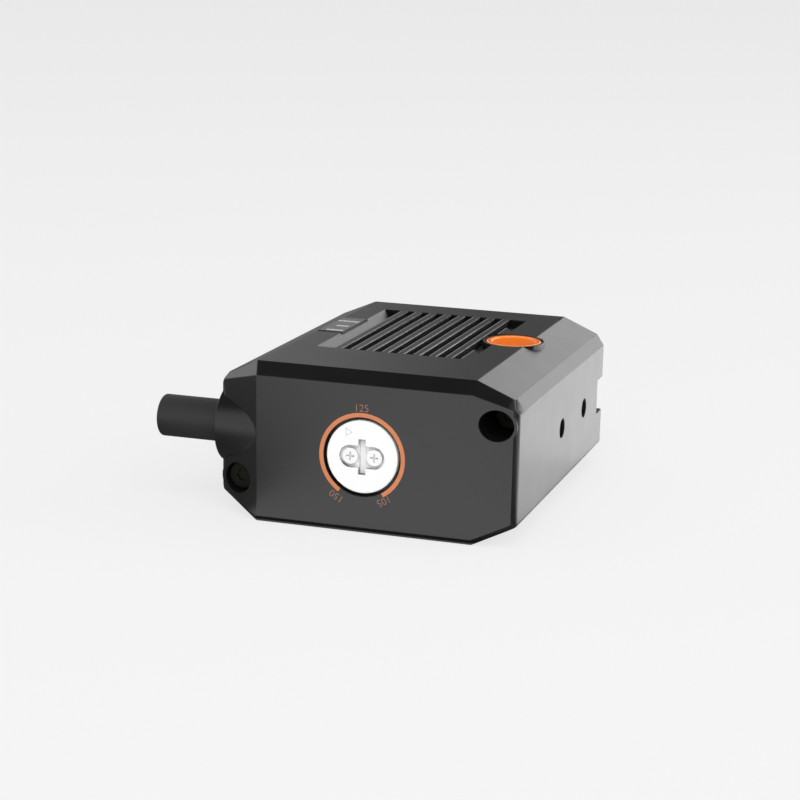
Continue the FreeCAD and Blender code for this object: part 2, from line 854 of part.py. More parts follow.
def lens_block():
    """Moulded block that guides the carriage and carries the spindle's tip, the boards and the aimer."""
    solid = box(block_left, block_right, block_rear, block_front, floor, block_top)
    slot_rear = arm_rear - focus_back - arm_stop_room
    slot_front = arm_front + focus_forward + arm_stop_room
    behind = block_rear - cut_over
    beyond = block_front + cut_over
    journal_seat = spindle_tip - journal_length + seat_gap
    aimer_seat = light_board_front + aimer_reach - aimer_length
    cuts = [
        box(lens_x, block_right + cut_over, slot_rear, slot_front, slot_low, slot_high),
        rod_y(lens_x, lens_height, bore_radius, behind, beyond),
        rod_y(0, dial_height, spindle_radius + board_gap, behind, journal_seat),
        rod_y(0, dial_height, journal_radius + running_fit, block_rear, beyond),
        rod_y(0, aimer_height, aimer_radius + bore_gap, aimer_seat, beyond),
    ]
    hole = small_screw_radius + bore_gap
    reach = small_screw_length + seat_gap
    board_reach = board_screw_length - board_thickness + seat_gap
    for x, z in corner_screw_places():
        cuts.append(rod_y(x, z, hole, behind, block_rear + reach))
        cuts.append(rod_y(x, z, hole, block_front - reach, beyond))
    for x, y in board_screw_places():
        cuts.append(rod_z(x, y, hole, block_top - board_reach, block_top + cut_over))
    return solid.cut(Part.makeCompound(cuts))


def corner_screw_places():
    """Two places beside the lens bore, a thin wall away from it, for the upright boards' screws."""
    turn = math.radians(corner_angle)
    x = lens_x - corner_reach * math.cos(turn)
    rise = corner_reach * math.sin(turn)
    return [(x, lens_height - rise), (x, lens_height + rise)]


def board_screw_places():
    """Two places on the block's top face, behind and in front of the nut arm's slot."""
    x = block_right - small_screw_edge
    return [(x, board_screw_rear), (x, block_front - small_screw_edge)]


def small_screw(x, y, z, direction, length=small_screw_length):
    """Pan-head screw whose shank runs along a direction from its seat."""
    seat = Vector(x, y, z)
    shank = Part.makeCylinder(small_screw_radius, length, seat, direction)
    head = Part.makeCylinder(small_screw_head_radius, small_screw_head_height, seat, -direction)
    return head.fuse(shank)


def sensor_board():
    """Board behind the lens block that carries the image sensor."""
    low = floor + sensor_board_margin
    high = block_top - board_gap
    solid = box(block_left, sensor_board_right, sensor_board_rear, block_rear, low, high)
    for x, z in corner_screw_places():
        solid = solid.cut(rod_y(x, z, small_screw_radius + bore_gap, sensor_board_rear, block_rear))
    return solid


def sensor_screws():
    """Screws that hold the sensor board to the lens block."""
    forward = Vector(0, 1, 0)
    places = corner_screw_places()
    return Part.makeCompound([small_screw(x, sensor_board_rear, z, forward) for x, z in places])


def image_sensor():
    """Sensor package, standing in the rear of the lens bore."""
    left = lens_x - sensor_size / 2
    low = lens_height - sensor_size / 2
    return box(left, left + sensor_size, block_rear, block_rear + sensor_height, low, low + sensor_size)


def sensor_flex():
    """Flat flexible lead from the sensor board's back to the main board's underside."""
    outer_y = sensor_board_rear
    inner_y = outer_y - flex_thickness
    outer_z = board_low
    inner_z = outer_z - flex_thickness
    end_y = header_front + flex_end_gap
    outline = [
        (outer_y, outer_z - flex_drop),
        (outer_y, outer_z),
        (end_y, outer_z),
        (end_y, inner_z),
        (inner_y, inner_z),
        (inner_y, outer_z - flex_drop),
    ]
    radii = [0.0, flex_bend + flex_thickness, 0.0, 0.0, flex_bend, 0.0]
    return prism("x", outline, lens_x - flex_width / 2, lens_x + flex_width / 2, radii)


def main_board():
    """Processor board that lies on the rails and the lens block."""
    solid = box(-board_half, board_half, board_rear, block_front, board_low, board_top)
    for x, y in board_screw_places():
        solid = solid.cut(rod_z(x, y, small_screw_radius + bore_gap, board_low, board_top))
    return solid


def board_screws():
    """Screws that hold the main board to the lens block."""
    down = Vector(0, 0, -1)
    places = board_screw_places()
    return Part.makeCompound([small_screw(x, y, board_top, down, board_screw_length) for x, y in places])


def processor():
    """Main chip, under the fins."""
    half = processor_size / 2
    rear_edge = processor_front - processor_size
    return box(-half, half, rear_edge, processor_front, board_top, board_top + processor_height)


def thermal_pad():
    """Soft pad that carries heat from the processor to the housing's roof."""
    half = processor_size / 2
    rear_edge = processor_front - processor_size
    return box(-half, half, rear_edge, processor_front, board_top + processor_height, ceiling)


def memory_chip():
    """Chip on the underside of the main board."""
    x = block_right + board_gap + light_connector_width / 2
    half_x = memory_width / 2
    half_y = memory_length / 2
    y0 = processor_y - half_y
    return box(x - half_x, x + half_x, y0, y0 + memory_length, board_low - memory_height, board_low)


def light_board_span():
    """Lowest and highest Z of the illumination board."""
    return floor + sensor_board_margin, board_low - board_gap


def light_board():
    """Board in front of the lens block that carries the illumination."""
    low, high = light_board_span()
    solid = box(-light_half, light_half, block_front, light_board_front, low, high)
    cuts = [
        rod_y(lens_x, lens_height, bore_radius, block_front, light_board_front),
        rod_y(0, aimer_height, aimer_radius + bore_gap, block_front, light_board_front),
    ]
    for x, z in corner_screw_places():
        cuts.append(rod_y(x, z, small_screw_radius + bore_gap, block_front, light_board_front))
    return solid.cut(Part.makeCompound(cuts))


def light_screws():
    """Screws that hold the illumination board to the lens block."""
    rearward = Vector(0, -1, 0)
    places = corner_screw_places()
    return Part.makeCompound([small_screw(x, light_board_front, z, rearward) for x, z in places])


def led_places():
    """Middle of each illumination LED, in as many columns as fit between board edge and aimer."""
    low, high = light_board_span()
    middle = (low + high) / 2
    tray_wall = light_lens_wall + board_gap
    pitch = led_width + led_gap
    room = light_half - aimer_radius - aimer_side_gap - 2 * tray_wall
    columns = math.floor((room + led_gap + press_gap) / pitch)
    last = light_half - tray_wall - led_width / 2
    places = []
    for column in range(columns):
        for row in range(led_rows):
            x = last - column * pitch
            z = middle + (row - (led_rows - 1) / 2) * led_row_pitch
            places.append((x, z))
    return places


def light_leds():
    """Illumination LEDs."""
    leds = []
    led_front = light_board_front + led_height
    for x, z in led_places():
        left = x - led_width / 2
        low = z - led_length / 2
        leds.append(box(left, left + led_width, light_board_front, led_front, low, low + led_length))
    return Part.makeCompound(leds)


def light_lens():
    """Clear tray over the LEDs, with a low round lens in front of each."""
    places = led_places()
    margin = led_width / 2 + board_gap
    left = min(x for x, z in places) - margin
    right = max(x for x, z in places) + margin
    low = min(z for x, z in places) - led_length / 2 - board_gap
    high = max(z for x, z in places) + led_length / 2 + board_gap
    wall = light_lens_wall
    plate_front = light_board_front + light_lens_depth
    plate_rear = plate_front - light_lens_plate
    outer = box(left - wall, right + wall, light_board_front, plate_front, low - wall, high + wall)
    solid = outer.cut(box(left, right, light_board_front, plate_rear, low, high))
    forward = Vector(0, 1, 0)
    domes = []
    for x, z in places:
        foot = Vector(x, plate_front, z)
        domes.append(Part.makeCone(light_dome_radius, light_dome_top, light_dome_rise, foot, forward))
    return solid.multiFuse(domes)


def light_connector():
    """Board connector between the main board and the illumination board."""
    x = block_right + board_gap
    return box(x, x + light_connector_width, block_front - light_connector_length, block_front,
               board_low - light_connector_height, board_low)


def aimer_module():
    """Aiming light in the lens block, with a recessed mouth."""
    tip = light_board_front + aimer_reach
    solid = rod_y(0, aimer_height, aimer_radius, tip - aimer_length, tip)
    return solid.cut(rod_y(0, aimer_height, aimer_mouth_radius, tip - aimer_mouth_depth, tip))


def trigger_button():
    """Round push button with a dished top and a stem that reaches the switch."""
    cap = rod_z(trigger_x, trigger_y, trigger_radius, body_height - trigger_skirt, trigger_top)
    rim = [edge for edge in cap.Edges if edge.BoundBox.ZMin > trigger_top - press_gap]
    cap = cap.makeChamfer(trigger_edge_bevel, rim)
    ball = ball_radius(trigger_dish_radius, trigger_dish)
    dish = Part.makeSphere(ball, Vector(trigger_x, trigger_y, trigger_top - trigger_dish + ball))
    stem = rod_z(trigger_x, trigger_y, stem_radius, plunger_top, body_height - trigger_skirt)
    return cap.cut(dish).fuse(stem)


def trigger_seal():
    """Square rubber ring on the well's floor, round the button's stem."""
    inner = stem_radius + running_fit
    high = well_floor + trigger_seal_cord
    ring = rod_z(trigger_x, trigger_y, inner + trigger_seal_cord, well_floor, high)
    return ring.cut(rod_z(trigger_x, trigger_y, inner, well_floor, high))


def tact_switch():
    """Push switch on the main board, with a well for its plunger."""
    half = switch_size / 2
    left = trigger_x - half
    back = trigger_y - half
    body = box(left, left + switch_size, back, back + switch_size, board_top, switch_top)
    well_low = switch_top - plunger_sink - trigger_travel - seat_gap
    well = rod_z(trigger_x, trigger_y, plunger_radius + bore_gap, well_low, switch_top + cut_over)
    return body.cut(well)


def switch_plunger():
    """Pin of the push switch, which the button's stem stands on."""
    return rod_z(trigger_x, trigger_y, plunger_radius, switch_top - plunger_sink, plunger_top)


def indicator_leds():
    """Three status LEDs on the main board, one under each light pipe."""
    left = indicator_x - status_led_width / 2
    led_top = board_top + status_led_height
    leds = []
    for y in pipe_places:
        y0 = y - status_led_length / 2
        leds.append(box(left, left + status_led_width, y0, y0 + status_led_length, board_top, led_top))
    return Part.makeCompound(leds)


def indicator_slab(z0, z1):
    """Slab that fits the indicator's well with a gap all round."""
    gap = indicator_rim_gap
    left = indicator_left + gap
    right = indicator_right - gap
    return box(left, right, indicator_rear + gap, indicator_front - gap, z0, z1)


def light_guide():
    """Clear plate in the indicator's well with a pipe down to each status LED."""
    plate = indicator_slab(well_bottom, well_bottom + guide_plate)
    pipes = [rod_z(indicator_x, y, pipe_radius, pipe_bottom, well_bottom) for y in pipe_places]
    return plate.multiFuse(pipes)


def indicator_cover():
    """Smoked cover on the light guide."""
    return indicator_slab(well_bottom + guide_plate, body_height + indicator_proud)


def cable_end():
    """X of the cable's free end."""
    return -half_width - cable_stub


def ferrule_end():
    """X where the ferrule and the jacket end inside the housing."""
    return boss_end + grommet_flange + ferrule_length


def cable_jacket():
    """Outer jacket of the cable."""
    inner = cable_radius - jacket_wall
    return tube_x(cable_y, cable_height, cable_radius, inner, cable_end(), ferrule_end())


def cable_shield():
    """Braided shield inside the jacket."""
    outer = cable_radius - jacket_wall
    return tube_x(cable_y, cable_height, outer, outer - shield_wall, cable_end(), ferrule_end())


def cable_cores():
    """Insulated cores, straight through the cable and then turned forward into the plug."""
    turn_x = plug_middle - core_bend
    turn_y = cable_y + core_bend
    cores = []
    for step in range(core_count):
        angle = 2 * math.pi * (step + 0.5) / core_count
        y = cable_y + core_ring_radius * math.cos(angle)
        z = cable_height + core_ring_radius * math.sin(angle)
        ring = Part.Circle(Vector(turn_x, y, z), Vector(1, 0, 0), core_radius).toShape()
        bend = Part.Face(Part.Wire(ring)).revolve(Vector(turn_x, turn_y, z), Vector(0, 0, 1), 90)
        straight = rod_x(y, z, core_radius, cable_end(), turn_x)
        lead = rod_y(turn_x + turn_y - y, z, core_radius, turn_y, plug_rear)
        cores.append(straight.multiFuse([bend, lead]))
    return Part.makeCompound(cores)


def cable_grommet():
    """Rubber sleeve between the cable and the boss, with a flange inside the housing."""
    inner = cable_radius + press_gap
    outer = cable_radius + grommet_wall
    flange_end = boss_end + grommet_flange
    sleeve = tube_x(cable_y, cable_height, outer, inner, -half_width + grommet_setback, boss_end)
    flange = tube_x(cable_y, cable_height, outer + grommet_flange_rise, inner, boss_end, flange_end)
    return sleeve.fuse(flange)


def cable_ferrule():
    """Metal ring crimped on the jacket, which stops the cable pulling out."""
    inner = cable_radius + press_gap
    start = boss_end + grommet_flange
    return tube_x(cable_y, cable_height, inner + ferrule_wall, inner, start, ferrule_end())


def cable_plug():
    """Plug on the ends of the cores."""
    left = plug_middle - plug_width / 2
    low = cable_height - plug_height / 2
    return box(left, left + plug_width, plug_rear, header_rear, low, low + plug_height)


def cable_header():
    """Socket on the main board's underside that takes the plug."""
    left = plug_middle - header_width / 2
    return box(left, left + header_width, header_rear, header_front, board_low - header_height, board_low)


nodes = {
    "main_housing": main_housing(),
    "front_bezel": front_bezel(),
    "bezel_gasket": bezel_gasket(),
    "bezel_inserts": bezel_inserts(),
    "housing_screws": housing_screws(),
    "front_window": front_window(),
    "window_gasket": window_gasket(),
    "focus_dial": focus_dial(),
    "dial_screws": dial_screws(),
    "focus_spindle": focus_spindle(),
    "spindle_clip": spindle_clip(),
    "spindle_seal": spindle_seal(),
    "spindle_bush": spindle_bush(),
    "lens_carriage": lens_carriage(),
    "rear_lens": lens_element(rear_lens_seat()),
    "lens_spacer": lens_ring(rear_lens_seat() + lens_rim, front_lens_seat()),
    "front_lens": lens_element(front_lens_seat()),
    "lens_retainer": lens_ring(front_lens_seat() + lens_rim, barrel_front),
    "lens_block": lens_block(),
    "sensor_board": sensor_board(),
    "sensor_screws": sensor_screws(),
    "image_sensor": image_sensor(),
    "sensor_flex": sensor_flex(),
    "main_board": main_board(),
    "board_screws": board_screws(),
    "processor": processor(),
    "thermal_pad": thermal_pad(),
    "memory_chip": memory_chip(),
    "light_board": light_board(),
    "light_screws": light_screws(),
    "light_leds": light_leds(),
    "light_lens": light_lens(),
    "light_connector": light_connector(),
    "aimer_module": aimer_module(),
    "trigger_button": trigger_button(),
    "trigger_seal": trigger_seal(),
    "tact_switch": tact_switch(),
    "switch_plunger": switch_plunger(),
    "indicator_leds": indicator_leds(),
    "light_guide": light_guide(),
    "indicator_cover": indicator_cover(),
    "cable_jacket": cable_jacket(),
    "cable_shield": cable_shield(),
    "cable_cores": cable_cores(),
    "cable_grommet": cable_grommet(),
    "cable_ferrule": cable_ferrule(),
    "cable_plug": cable_plug(),
    "cable_header": cable_header(),
}

os.makedirs("parts", exist_ok=True)
for name, shape in nodes.items():
    shape.exportStep("parts/" + name + ".step")
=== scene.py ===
import logging
import math
from dataclasses import dataclass, field
from enum import Enum
from typing import Callable, ClassVar, Optional, Sequence

import bmesh
import bpy
from mathutils import Matrix, Vector


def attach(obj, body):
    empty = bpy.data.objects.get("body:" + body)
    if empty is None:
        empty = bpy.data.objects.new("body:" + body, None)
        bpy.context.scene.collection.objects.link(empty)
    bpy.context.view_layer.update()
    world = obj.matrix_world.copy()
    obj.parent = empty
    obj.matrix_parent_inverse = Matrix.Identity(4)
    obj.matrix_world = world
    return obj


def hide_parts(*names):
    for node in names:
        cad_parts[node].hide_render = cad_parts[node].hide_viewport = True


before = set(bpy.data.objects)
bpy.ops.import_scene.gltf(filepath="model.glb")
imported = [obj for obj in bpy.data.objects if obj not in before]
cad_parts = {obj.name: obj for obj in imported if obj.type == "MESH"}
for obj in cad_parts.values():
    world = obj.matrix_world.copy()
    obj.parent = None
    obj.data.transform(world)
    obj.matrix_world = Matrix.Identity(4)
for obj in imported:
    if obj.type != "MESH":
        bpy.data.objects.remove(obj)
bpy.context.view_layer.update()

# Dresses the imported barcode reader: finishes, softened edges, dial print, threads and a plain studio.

log = logging.getLogger("reader")

Colour = tuple[float, float, float]
Pair = tuple[float, float]
Point = tuple[float, float, float]
MM = 0.001


class Body(Enum):
    """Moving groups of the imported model."""

    HOUSING = "housing"
    DIAL = "dial"
    LENS = "lens"
    TRIGGER = "trigger"


class Axis(Enum):
    """Axis that a turned piece is turned about."""

    X = "x"
    Y = "y"
    Z = "z"


class Sunk(Enum):
    """Which outer face of a copy is moved in to make room for print."""

    NONE = "none"
    REAR = "rear"
    TOP = "top"


class Lay(Enum):
    """Which way a finish's fine pattern runs."""

    EVEN = "even"
    DRAWN = "drawn"
    BRAID = "braid"
    TRACKS = "tracks"


class NodeDesk:
    """Adds and joins the nodes of one tree."""

    MIDDLE: ClassVar[Pair] = (0.3, 0.7)

    def __init__(self, tree: bpy.types.NodeTree) -> None:
        """Keep the tree and start with none of its default nodes."""
        self.tree = tree
        tree.nodes.clear()

    def add(self, kind: str, **settings: object) -> bpy.types.Node:
        """Add a node.

        Args:
            kind: Blender's type name of the node.
            settings: Values for the node's own attributes.

        Returns:
            The new node.
        """
        node = self.tree.nodes.new(kind)
        for key, value in settings.items():
            setattr(node, key, value)
        return node

    def link(self, source: bpy.types.NodeSocket, target: bpy.types.NodeSocket) -> None:
        """Join an output to an input."""
        self.tree.links.new(source, target)

    def noise(self, vector: bpy.types.NodeSocket, size: float, detail: float) -> bpy.types.NodeSocket:
        """Add a noise pattern.

        Args:
            vector: Coordinates that the pattern is laid on.
            size: Distance between its features, in metres.
            detail: Number of finer layers.

        Returns:
            The pattern's value, from 0 to 1.
        """
        node = self.add("ShaderNodeTexNoise")
        node.inputs["Scale"].default_value = 1.0 / size
        node.inputs["Detail"].default_value = detail
        self.link(vector, node.inputs["Vector"])
        return node.outputs["Fac"]

    def spread(self, value: bpy.types.NodeSocket, low: float, high: float) -> bpy.types.NodeSocket:
        """Stretch the middle of a pattern over a range.

        Args:
            value: A pattern from 0 to 1.
            low: Result where the pattern is low.
            high: Result where the pattern is high.

        Returns:
            The stretched value.
        """
        node = self.add("ShaderNodeMapRange")
        node.inputs["From Min"].default_value, node.inputs["From Max"].default_value = self.MIDDLE
        node.inputs["To Min"].default_value = low
        node.inputs["To Max"].default_value = high
        self.link(value, node.inputs["Value"])
        return node.outputs["Result"]

    def math(self, operation: str, first: object, second: object) -> bpy.types.NodeSocket:
        """Work out a number from two sockets or plain numbers.

        Args:
            operation: Name of the operation.
            first: Socket or number.
            second: Socket or number.

        Returns:
            The result.
        """
        node = self.add("ShaderNodeMath", operation=operation)
        for socket, value in zip(node.inputs, (first, second)):
            if isinstance(value, bpy.types.NodeSocket):
                self.link(value, socket)
            else:
                socket.default_value = value
        return node.outputs[0]

    def mix(self, factor: bpy.types.NodeSocket, first: object, second: object) -> bpy.types.NodeSocket:
        """Mix two colours.

        Args:
            factor: Share of the second colour.
            first: Socket or colour.
            second: Socket or colour.

        Returns:
            The mixed colour.
        """
        node = self.add("ShaderNodeMix", data_type="RGBA")
        self.link(factor, node.inputs["Factor"])
        for socket, value in zip((node.inputs[6], node.inputs[7]), (first, second)):
            if isinstance(value, bpy.types.NodeSocket):
                self.link(value, socket)
            else:
                socket.default_value = (*value, 1.0)
        return node.outputs[2]


@dataclass(frozen=True)
class Grain:
    """Fine relief and unevenness of a surface, its size and depth in millimetres."""

    size: float
    depth: float
    tone: float
    rough: float


@dataclass(frozen=True)
class Finish:
    """One surface finish, and the material that shows it."""

    PATCH: ClassVar[float] = 40.0
    COARSE_SHARE: ClassVar[float] = 0.6
    FINE_SHARE: ClassVar[float] = 0.4
    DRAWN_STRETCH: ClassVar[Point] = (1.0, 0.05, 1.0)
    BRAID_PITCH: ClassVar[float] = 0.3
    TRACK_LIFT: ClassVar[float] = 0.7
    TRACK_PITCH: ClassVar[float] = 2.6
    TRACK_WIDTH: ClassVar[float] = 0.045
    PAINTED_LIGHT_PATCH: ClassVar[float] = 1.2
    PAINTED_LIGHT_SHINE: ClassVar[float] = 0.08
    BRAID_TURNS: ClassVar[tuple[int, int]] = (35, -35)
    name: str
    colour: Colour
    roughness: float
    grain: Grain
    metallic: float = 0.0
    ior: float = 1.5
    clear: float = 0.0
    # The next two fields paint marked faces lighter, as a painted highlight or reflection, or darker, as
    # painted shade.
    painted_light_shift: float = 0.0
    painted_light_tone: Optional[Colour] = None
    lay: Lay = Lay.EVEN

    def material(self) -> bpy.types.Material:
        """Build the material once.

        Returns:
            The finish's material.
        """
        known = bpy.data.materials.get(self.name)
        if known is not None:
            return known
        made = bpy.data.materials.new(self.name)
        made.use_nodes = True
        desk = NodeDesk(made.node_tree)
        shader = desk.add("ShaderNodeBsdfPrincipled")
        output = desk.add("ShaderNodeOutputMaterial")
        desk.link(shader.outputs["BSDF"], output.inputs["Surface"])
        shader.inputs["Metallic"].default_value = self.metallic
        shader.inputs["IOR"].default_value = self.ior
        shader.inputs["Transmission Weight"].default_value = self.clear
        place = desk.add("ShaderNodeTexCoord").outputs["Object"]
        self._paint(desk, shader, place)
        self._relief(desk, shader, place)
        return made

    def _shade(self, share: float) -> Colour:
        """The finish's colour made lighter or darker by a share."""
        return tuple(min(1.0, part * (1.0 + share)) for part in self.colour)

    def _paint(self, desk: NodeDesk, shader: bpy.types.Node, place: bpy.types.NodeSocket) -> None:
        """Give the shader its colour and roughness, uneven at a large and a fine scale.

        Args:
            desk: The material's nodes.
            shader: The shader.
            place: Object coordinates.
        """
        coarse = desk.noise(place, self.grain.size * MM * self.PATCH, 3.0)
        fine = desk.noise(place, self.grain.size * MM, 2.0)
        blend = desk.math("ADD", desk.math("MULTIPLY", coarse, self.COARSE_SHARE),
                          desk.math("MULTIPLY", fine, self.FINE_SHARE))
        factor = desk.spread(blend, 0.0, 1.0)
        colour = desk.mix(factor, self._shade(-self.grain.tone), self._shade(self.grain.tone))
        low = self.roughness - self.grain.rough
        rough = desk.spread(coarse, low, self.roughness + self.grain.rough)
        if self.lay is Lay.TRACKS:
            colour = desk.mix(self._tracks(desk, place), colour, self._shade(self.TRACK_LIFT))
        # Faces marked in the mask attribute get painted light: a lighter tone is a painted highlight, a
        # darker one painted shade.
        if self.painted_light_shift != 0.0 or self.painted_light_tone:
            edge = desk.add("ShaderNodeAttribute", attribute_name="painted_light_mask").outputs["Fac"]
            patchy = desk.spread(desk.noise(place, self.PAINTED_LIGHT_PATCH * MM, 4.0), 0.2, 1.0)
            share = desk.math("MULTIPLY", edge, patchy)
            colour = desk.mix(share, colour, self.painted_light_tone or self._shade(self.painted_light_shift))
            rough = desk.math("SUBTRACT", rough, desk.math("MULTIPLY", share, self.PAINTED_LIGHT_SHINE))
        desk.link(colour, shader.inputs["Base Color"])
        desk.link(rough, shader.inputs["Roughness"])

    def _tracks(self, desk: NodeDesk, place: bpy.types.NodeSocket) -> bpy.types.NodeSocket:
        """Pattern of a circuit board's copper tracks.

        Args:
            desk: The material's nodes.
            place: Object coordinates.

        Returns:
            1 on a track and 0 between.
        """
        brick = desk.add("ShaderNodeTexBrick")
        brick.inputs["Scale"].default_value = 1.0 / (self.TRACK_PITCH * MM)
        brick.inputs["Mortar Size"].default_value = self.TRACK_WIDTH
        brick.inputs["Color1"].default_value = (0, 0, 0, 1)
        brick.inputs["Color2"].default_value = (0, 0, 0, 1)
        brick.inputs["Mortar"].default_value = (1, 1, 1, 1)
        turn = desk.add("ShaderNodeMapping")
        turn.inputs["Rotation"].default_value = (math.radians(90), 0, 0)
        desk.link(place, turn.inputs["Vector"])
        desk.link(turn.outputs["Vector"], brick.inputs["Vector"])
        return brick.outputs["Color"]

    def _relief(self, desk: NodeDesk, shader: bpy.types.Node, place: bpy.types.NodeSocket) -> None:
        """Give the shader its fine bumps.

        Args:
            desk: The material's nodes.
            shader: The shader.
            place: Object coordinates.
        """
        bump = desk.add("ShaderNodeBump")
        bump.inputs["Strength"].default_value = 1.0
        bump.inputs["Distance"].default_value = self.grain.depth * MM
        if self.lay is Lay.BRAID:
            height = self._braid(desk, place)
        else:
            stretch = desk.add("ShaderNodeMapping")
            if self.lay is Lay.DRAWN:
                stretch.inputs["Scale"].default_value = self.DRAWN_STRETCH
            desk.link(place, stretch.inputs["Vector"])
            height = desk.noise(stretch.outputs["Vector"], self.grain.size * MM, 2.0)
        desk.link(height, bump.inputs["Height"])
        desk.link(bump.outputs["Normal"], shader.inputs["Normal"])

    def _braid(self, desk: NodeDesk, place: bpy.types.NodeSocket) -> bpy.types.NodeSocket:
        """Height of crossing strands.

        Args:
            desk: The material's nodes.
            place: Object coordinates.

        Returns:
            The strands' height.
        """
        heights = []
        for turn in self.BRAID_TURNS:
            twist = desk.add("ShaderNodeMapping")
            twist.inputs["Rotation"].default_value = (0, 0, math.radians(turn))
            wave = desk.add("ShaderNodeTexWave")
            wave.inputs["Scale"].default_value = self.BRAID_PITCH / (self.grain.size * MM)
            desk.link(place, twist.inputs["Vector"])
            desk.link(twist.outputs["Vector"], wave.inputs["Vector"])
            heights.append(wave.outputs["Fac"])
        return desk.math("MAXIMUM", heights[0], heights[1])


class Finishes:
    """Every finish on the reader."""

    # The coat's marked edges take a lighter grey: a painted highlight, strongest on the fins' rounded
    # edges.
    COAT = Finish("satin_black_coat", (0.0058, 0.0058, 0.006), 0.36,
                  Grain(0.11, 0.002, 0.1, 0.012), ior=1.6, painted_light_tone=(0.11, 0.11, 0.112))
    # Lighter grey for thin strips laid along fin and land edges: painted highlight lines.
    HIGHLIGHT_COAT = Finish("painted_highlight_coat", (0.19, 0.19, 0.192), 0.36, Grain(0.11, 0.002, 0.2, 0.012), ior=1.6)
    # Rougher coat for faces in recesses; its darker colour is painted shade.
    RECESS_SHADE = Finish("painted_recess_shade", (0.004, 0.004, 0.0042), 0.75, Grain(0.11, 0.003, 0.2, 0.05),
                    ior=1.3)
    RUBBER = Finish("seal_rubber", (0.012, 0.012, 0.012), 0.7, Grain(0.2, 0.006, 0.25, 0.08))
    BRASS = Finish("turned_brass", (0.66, 0.45, 0.17), 0.28, Grain(0.08, 0.002, 0.12, 0.06), 1.0,
                   lay=Lay.DRAWN)
    SCREW = Finish("blackened_screw_steel", (0.028, 0.028, 0.022), 0.5, Grain(0.1, 0.002, 0.2, 0.06), 1.0)
    PLATED = Finish("plated_steel", (0.62, 0.62, 0.6), 0.26, Grain(0.1, 0.0015, 0.1, 0.06), 1.0)
    SPINDLE = Finish("ground_spindle_steel", (0.5, 0.5, 0.5), 0.24, Grain(0.08, 0.002, 0.1, 0.05), 1.0,
                     lay=Lay.DRAWN)
    WINDOW = Finish("smoked_window", (0.42, 0.43, 0.45), 0.035, Grain(2.0, 0.0004, 0.03, 0.01),
                    ior=1.49, clear=1.0)
    # Upright walls in the dial's recess are painted darker: painted shade.
    DIAL = Finish("white_dial", (0.94, 0.94, 0.935), 0.42, Grain(0.15, 0.002, 0.015, 0.05),
                  painted_light_shift=-0.95)
    DIAL_SCREW = Finish("white_coated_screw", (0.9, 0.9, 0.895), 0.36, Grain(0.1, 0.002, 0.015, 0.05),
                        painted_light_shift=-0.5)
    LENS_BLACK = Finish("lens_barrel_black", (0.014, 0.014, 0.015), 0.5, Grain(0.12, 0.003, 0.2, 0.06))
    LENS_GLASS = Finish("coated_lens_glass", (0.82, 0.86, 0.95), 0.02, Grain(3.0, 0.0002, 0.03, 0.008),
                        ior=1.6, clear=1.0)
    BOARD = Finish("green_circuit_board", (0.012, 0.105, 0.04), 0.35, Grain(0.2, 0.004, 0.15, 0.06),
                   lay=Lay.TRACKS)
    CHIP = Finish("chip_package", (0.02, 0.02, 0.021), 0.55, Grain(0.06, 0.003, 0.25, 0.06))
    FLEX = Finish("amber_flex", (0.45, 0.16, 0.02), 0.3, Grain(0.3, 0.003, 0.12, 0.06))
    PAD = Finish("thermal_pad_grey", (0.26, 0.28, 0.31), 0.8, Grain(0.15, 0.008, 0.12, 0.06))
    LED = Finish("led_package", (0.82, 0.82, 0.78), 0.4, Grain(0.1, 0.002, 0.04, 0.05))
    PHOSPHOR = Finish("led_phosphor", (0.85, 0.6, 0.08), 0.35, Grain(0.1, 0.004, 0.12, 0.06))
    CLEAR = Finish("clear_moulding", (0.94, 0.95, 0.95), 0.05, Grain(1.5, 0.0006, 0.02, 0.02),
                   ior=1.49, clear=1.0)
    AIMER = Finish("aimer_brass", (0.55, 0.36, 0.14), 0.3, Grain(0.08, 0.002, 0.12, 0.06), 1.0,
                   lay=Lay.DRAWN)
    # Its rim and step ring are painted a paler orange: a painted reflection.
    ORANGE = Finish("orange_button", (0.88, 0.165, 0.002), 0.16, Grain(0.2, 0.002, 0.05, 0.05), ior=1.2,
                    painted_light_tone=(0.95, 0.36, 0.13))
    INK = Finish("orange_ink", (0.62, 0.2, 0.075), 0.5, Grain(0.08, 0.001, 0.06, 0.05))
    NUMBER_INK = Finish("orange_number_ink", (0.3, 0.14, 0.08), 0.55, Grain(0.06, 0.001, 0.15, 0.05))
    MARK_INK = Finish("white_ink", (0.62, 0.62, 0.62), 0.55, Grain(0.06, 0.001, 0.1, 0.05))
    # Black for the line along the indicator's right and rear edges: painted shade of the gap round the
    # cover.
    GAP_SHADE = Finish("painted_gap_shade", (0.003, 0.003, 0.003), 0.7, Grain(0.06, 0.001, 0.2, 0.05), ior=1.3)
    POINTER_GREY = Finish("pointer_grey", (0.22, 0.22, 0.22), 0.6, Grain(0.06, 0.001, 0.15, 0.05))
    PLUNGER = Finish("plunger_white", (0.7, 0.7, 0.66), 0.45, Grain(0.12, 0.002, 0.04, 0.05))
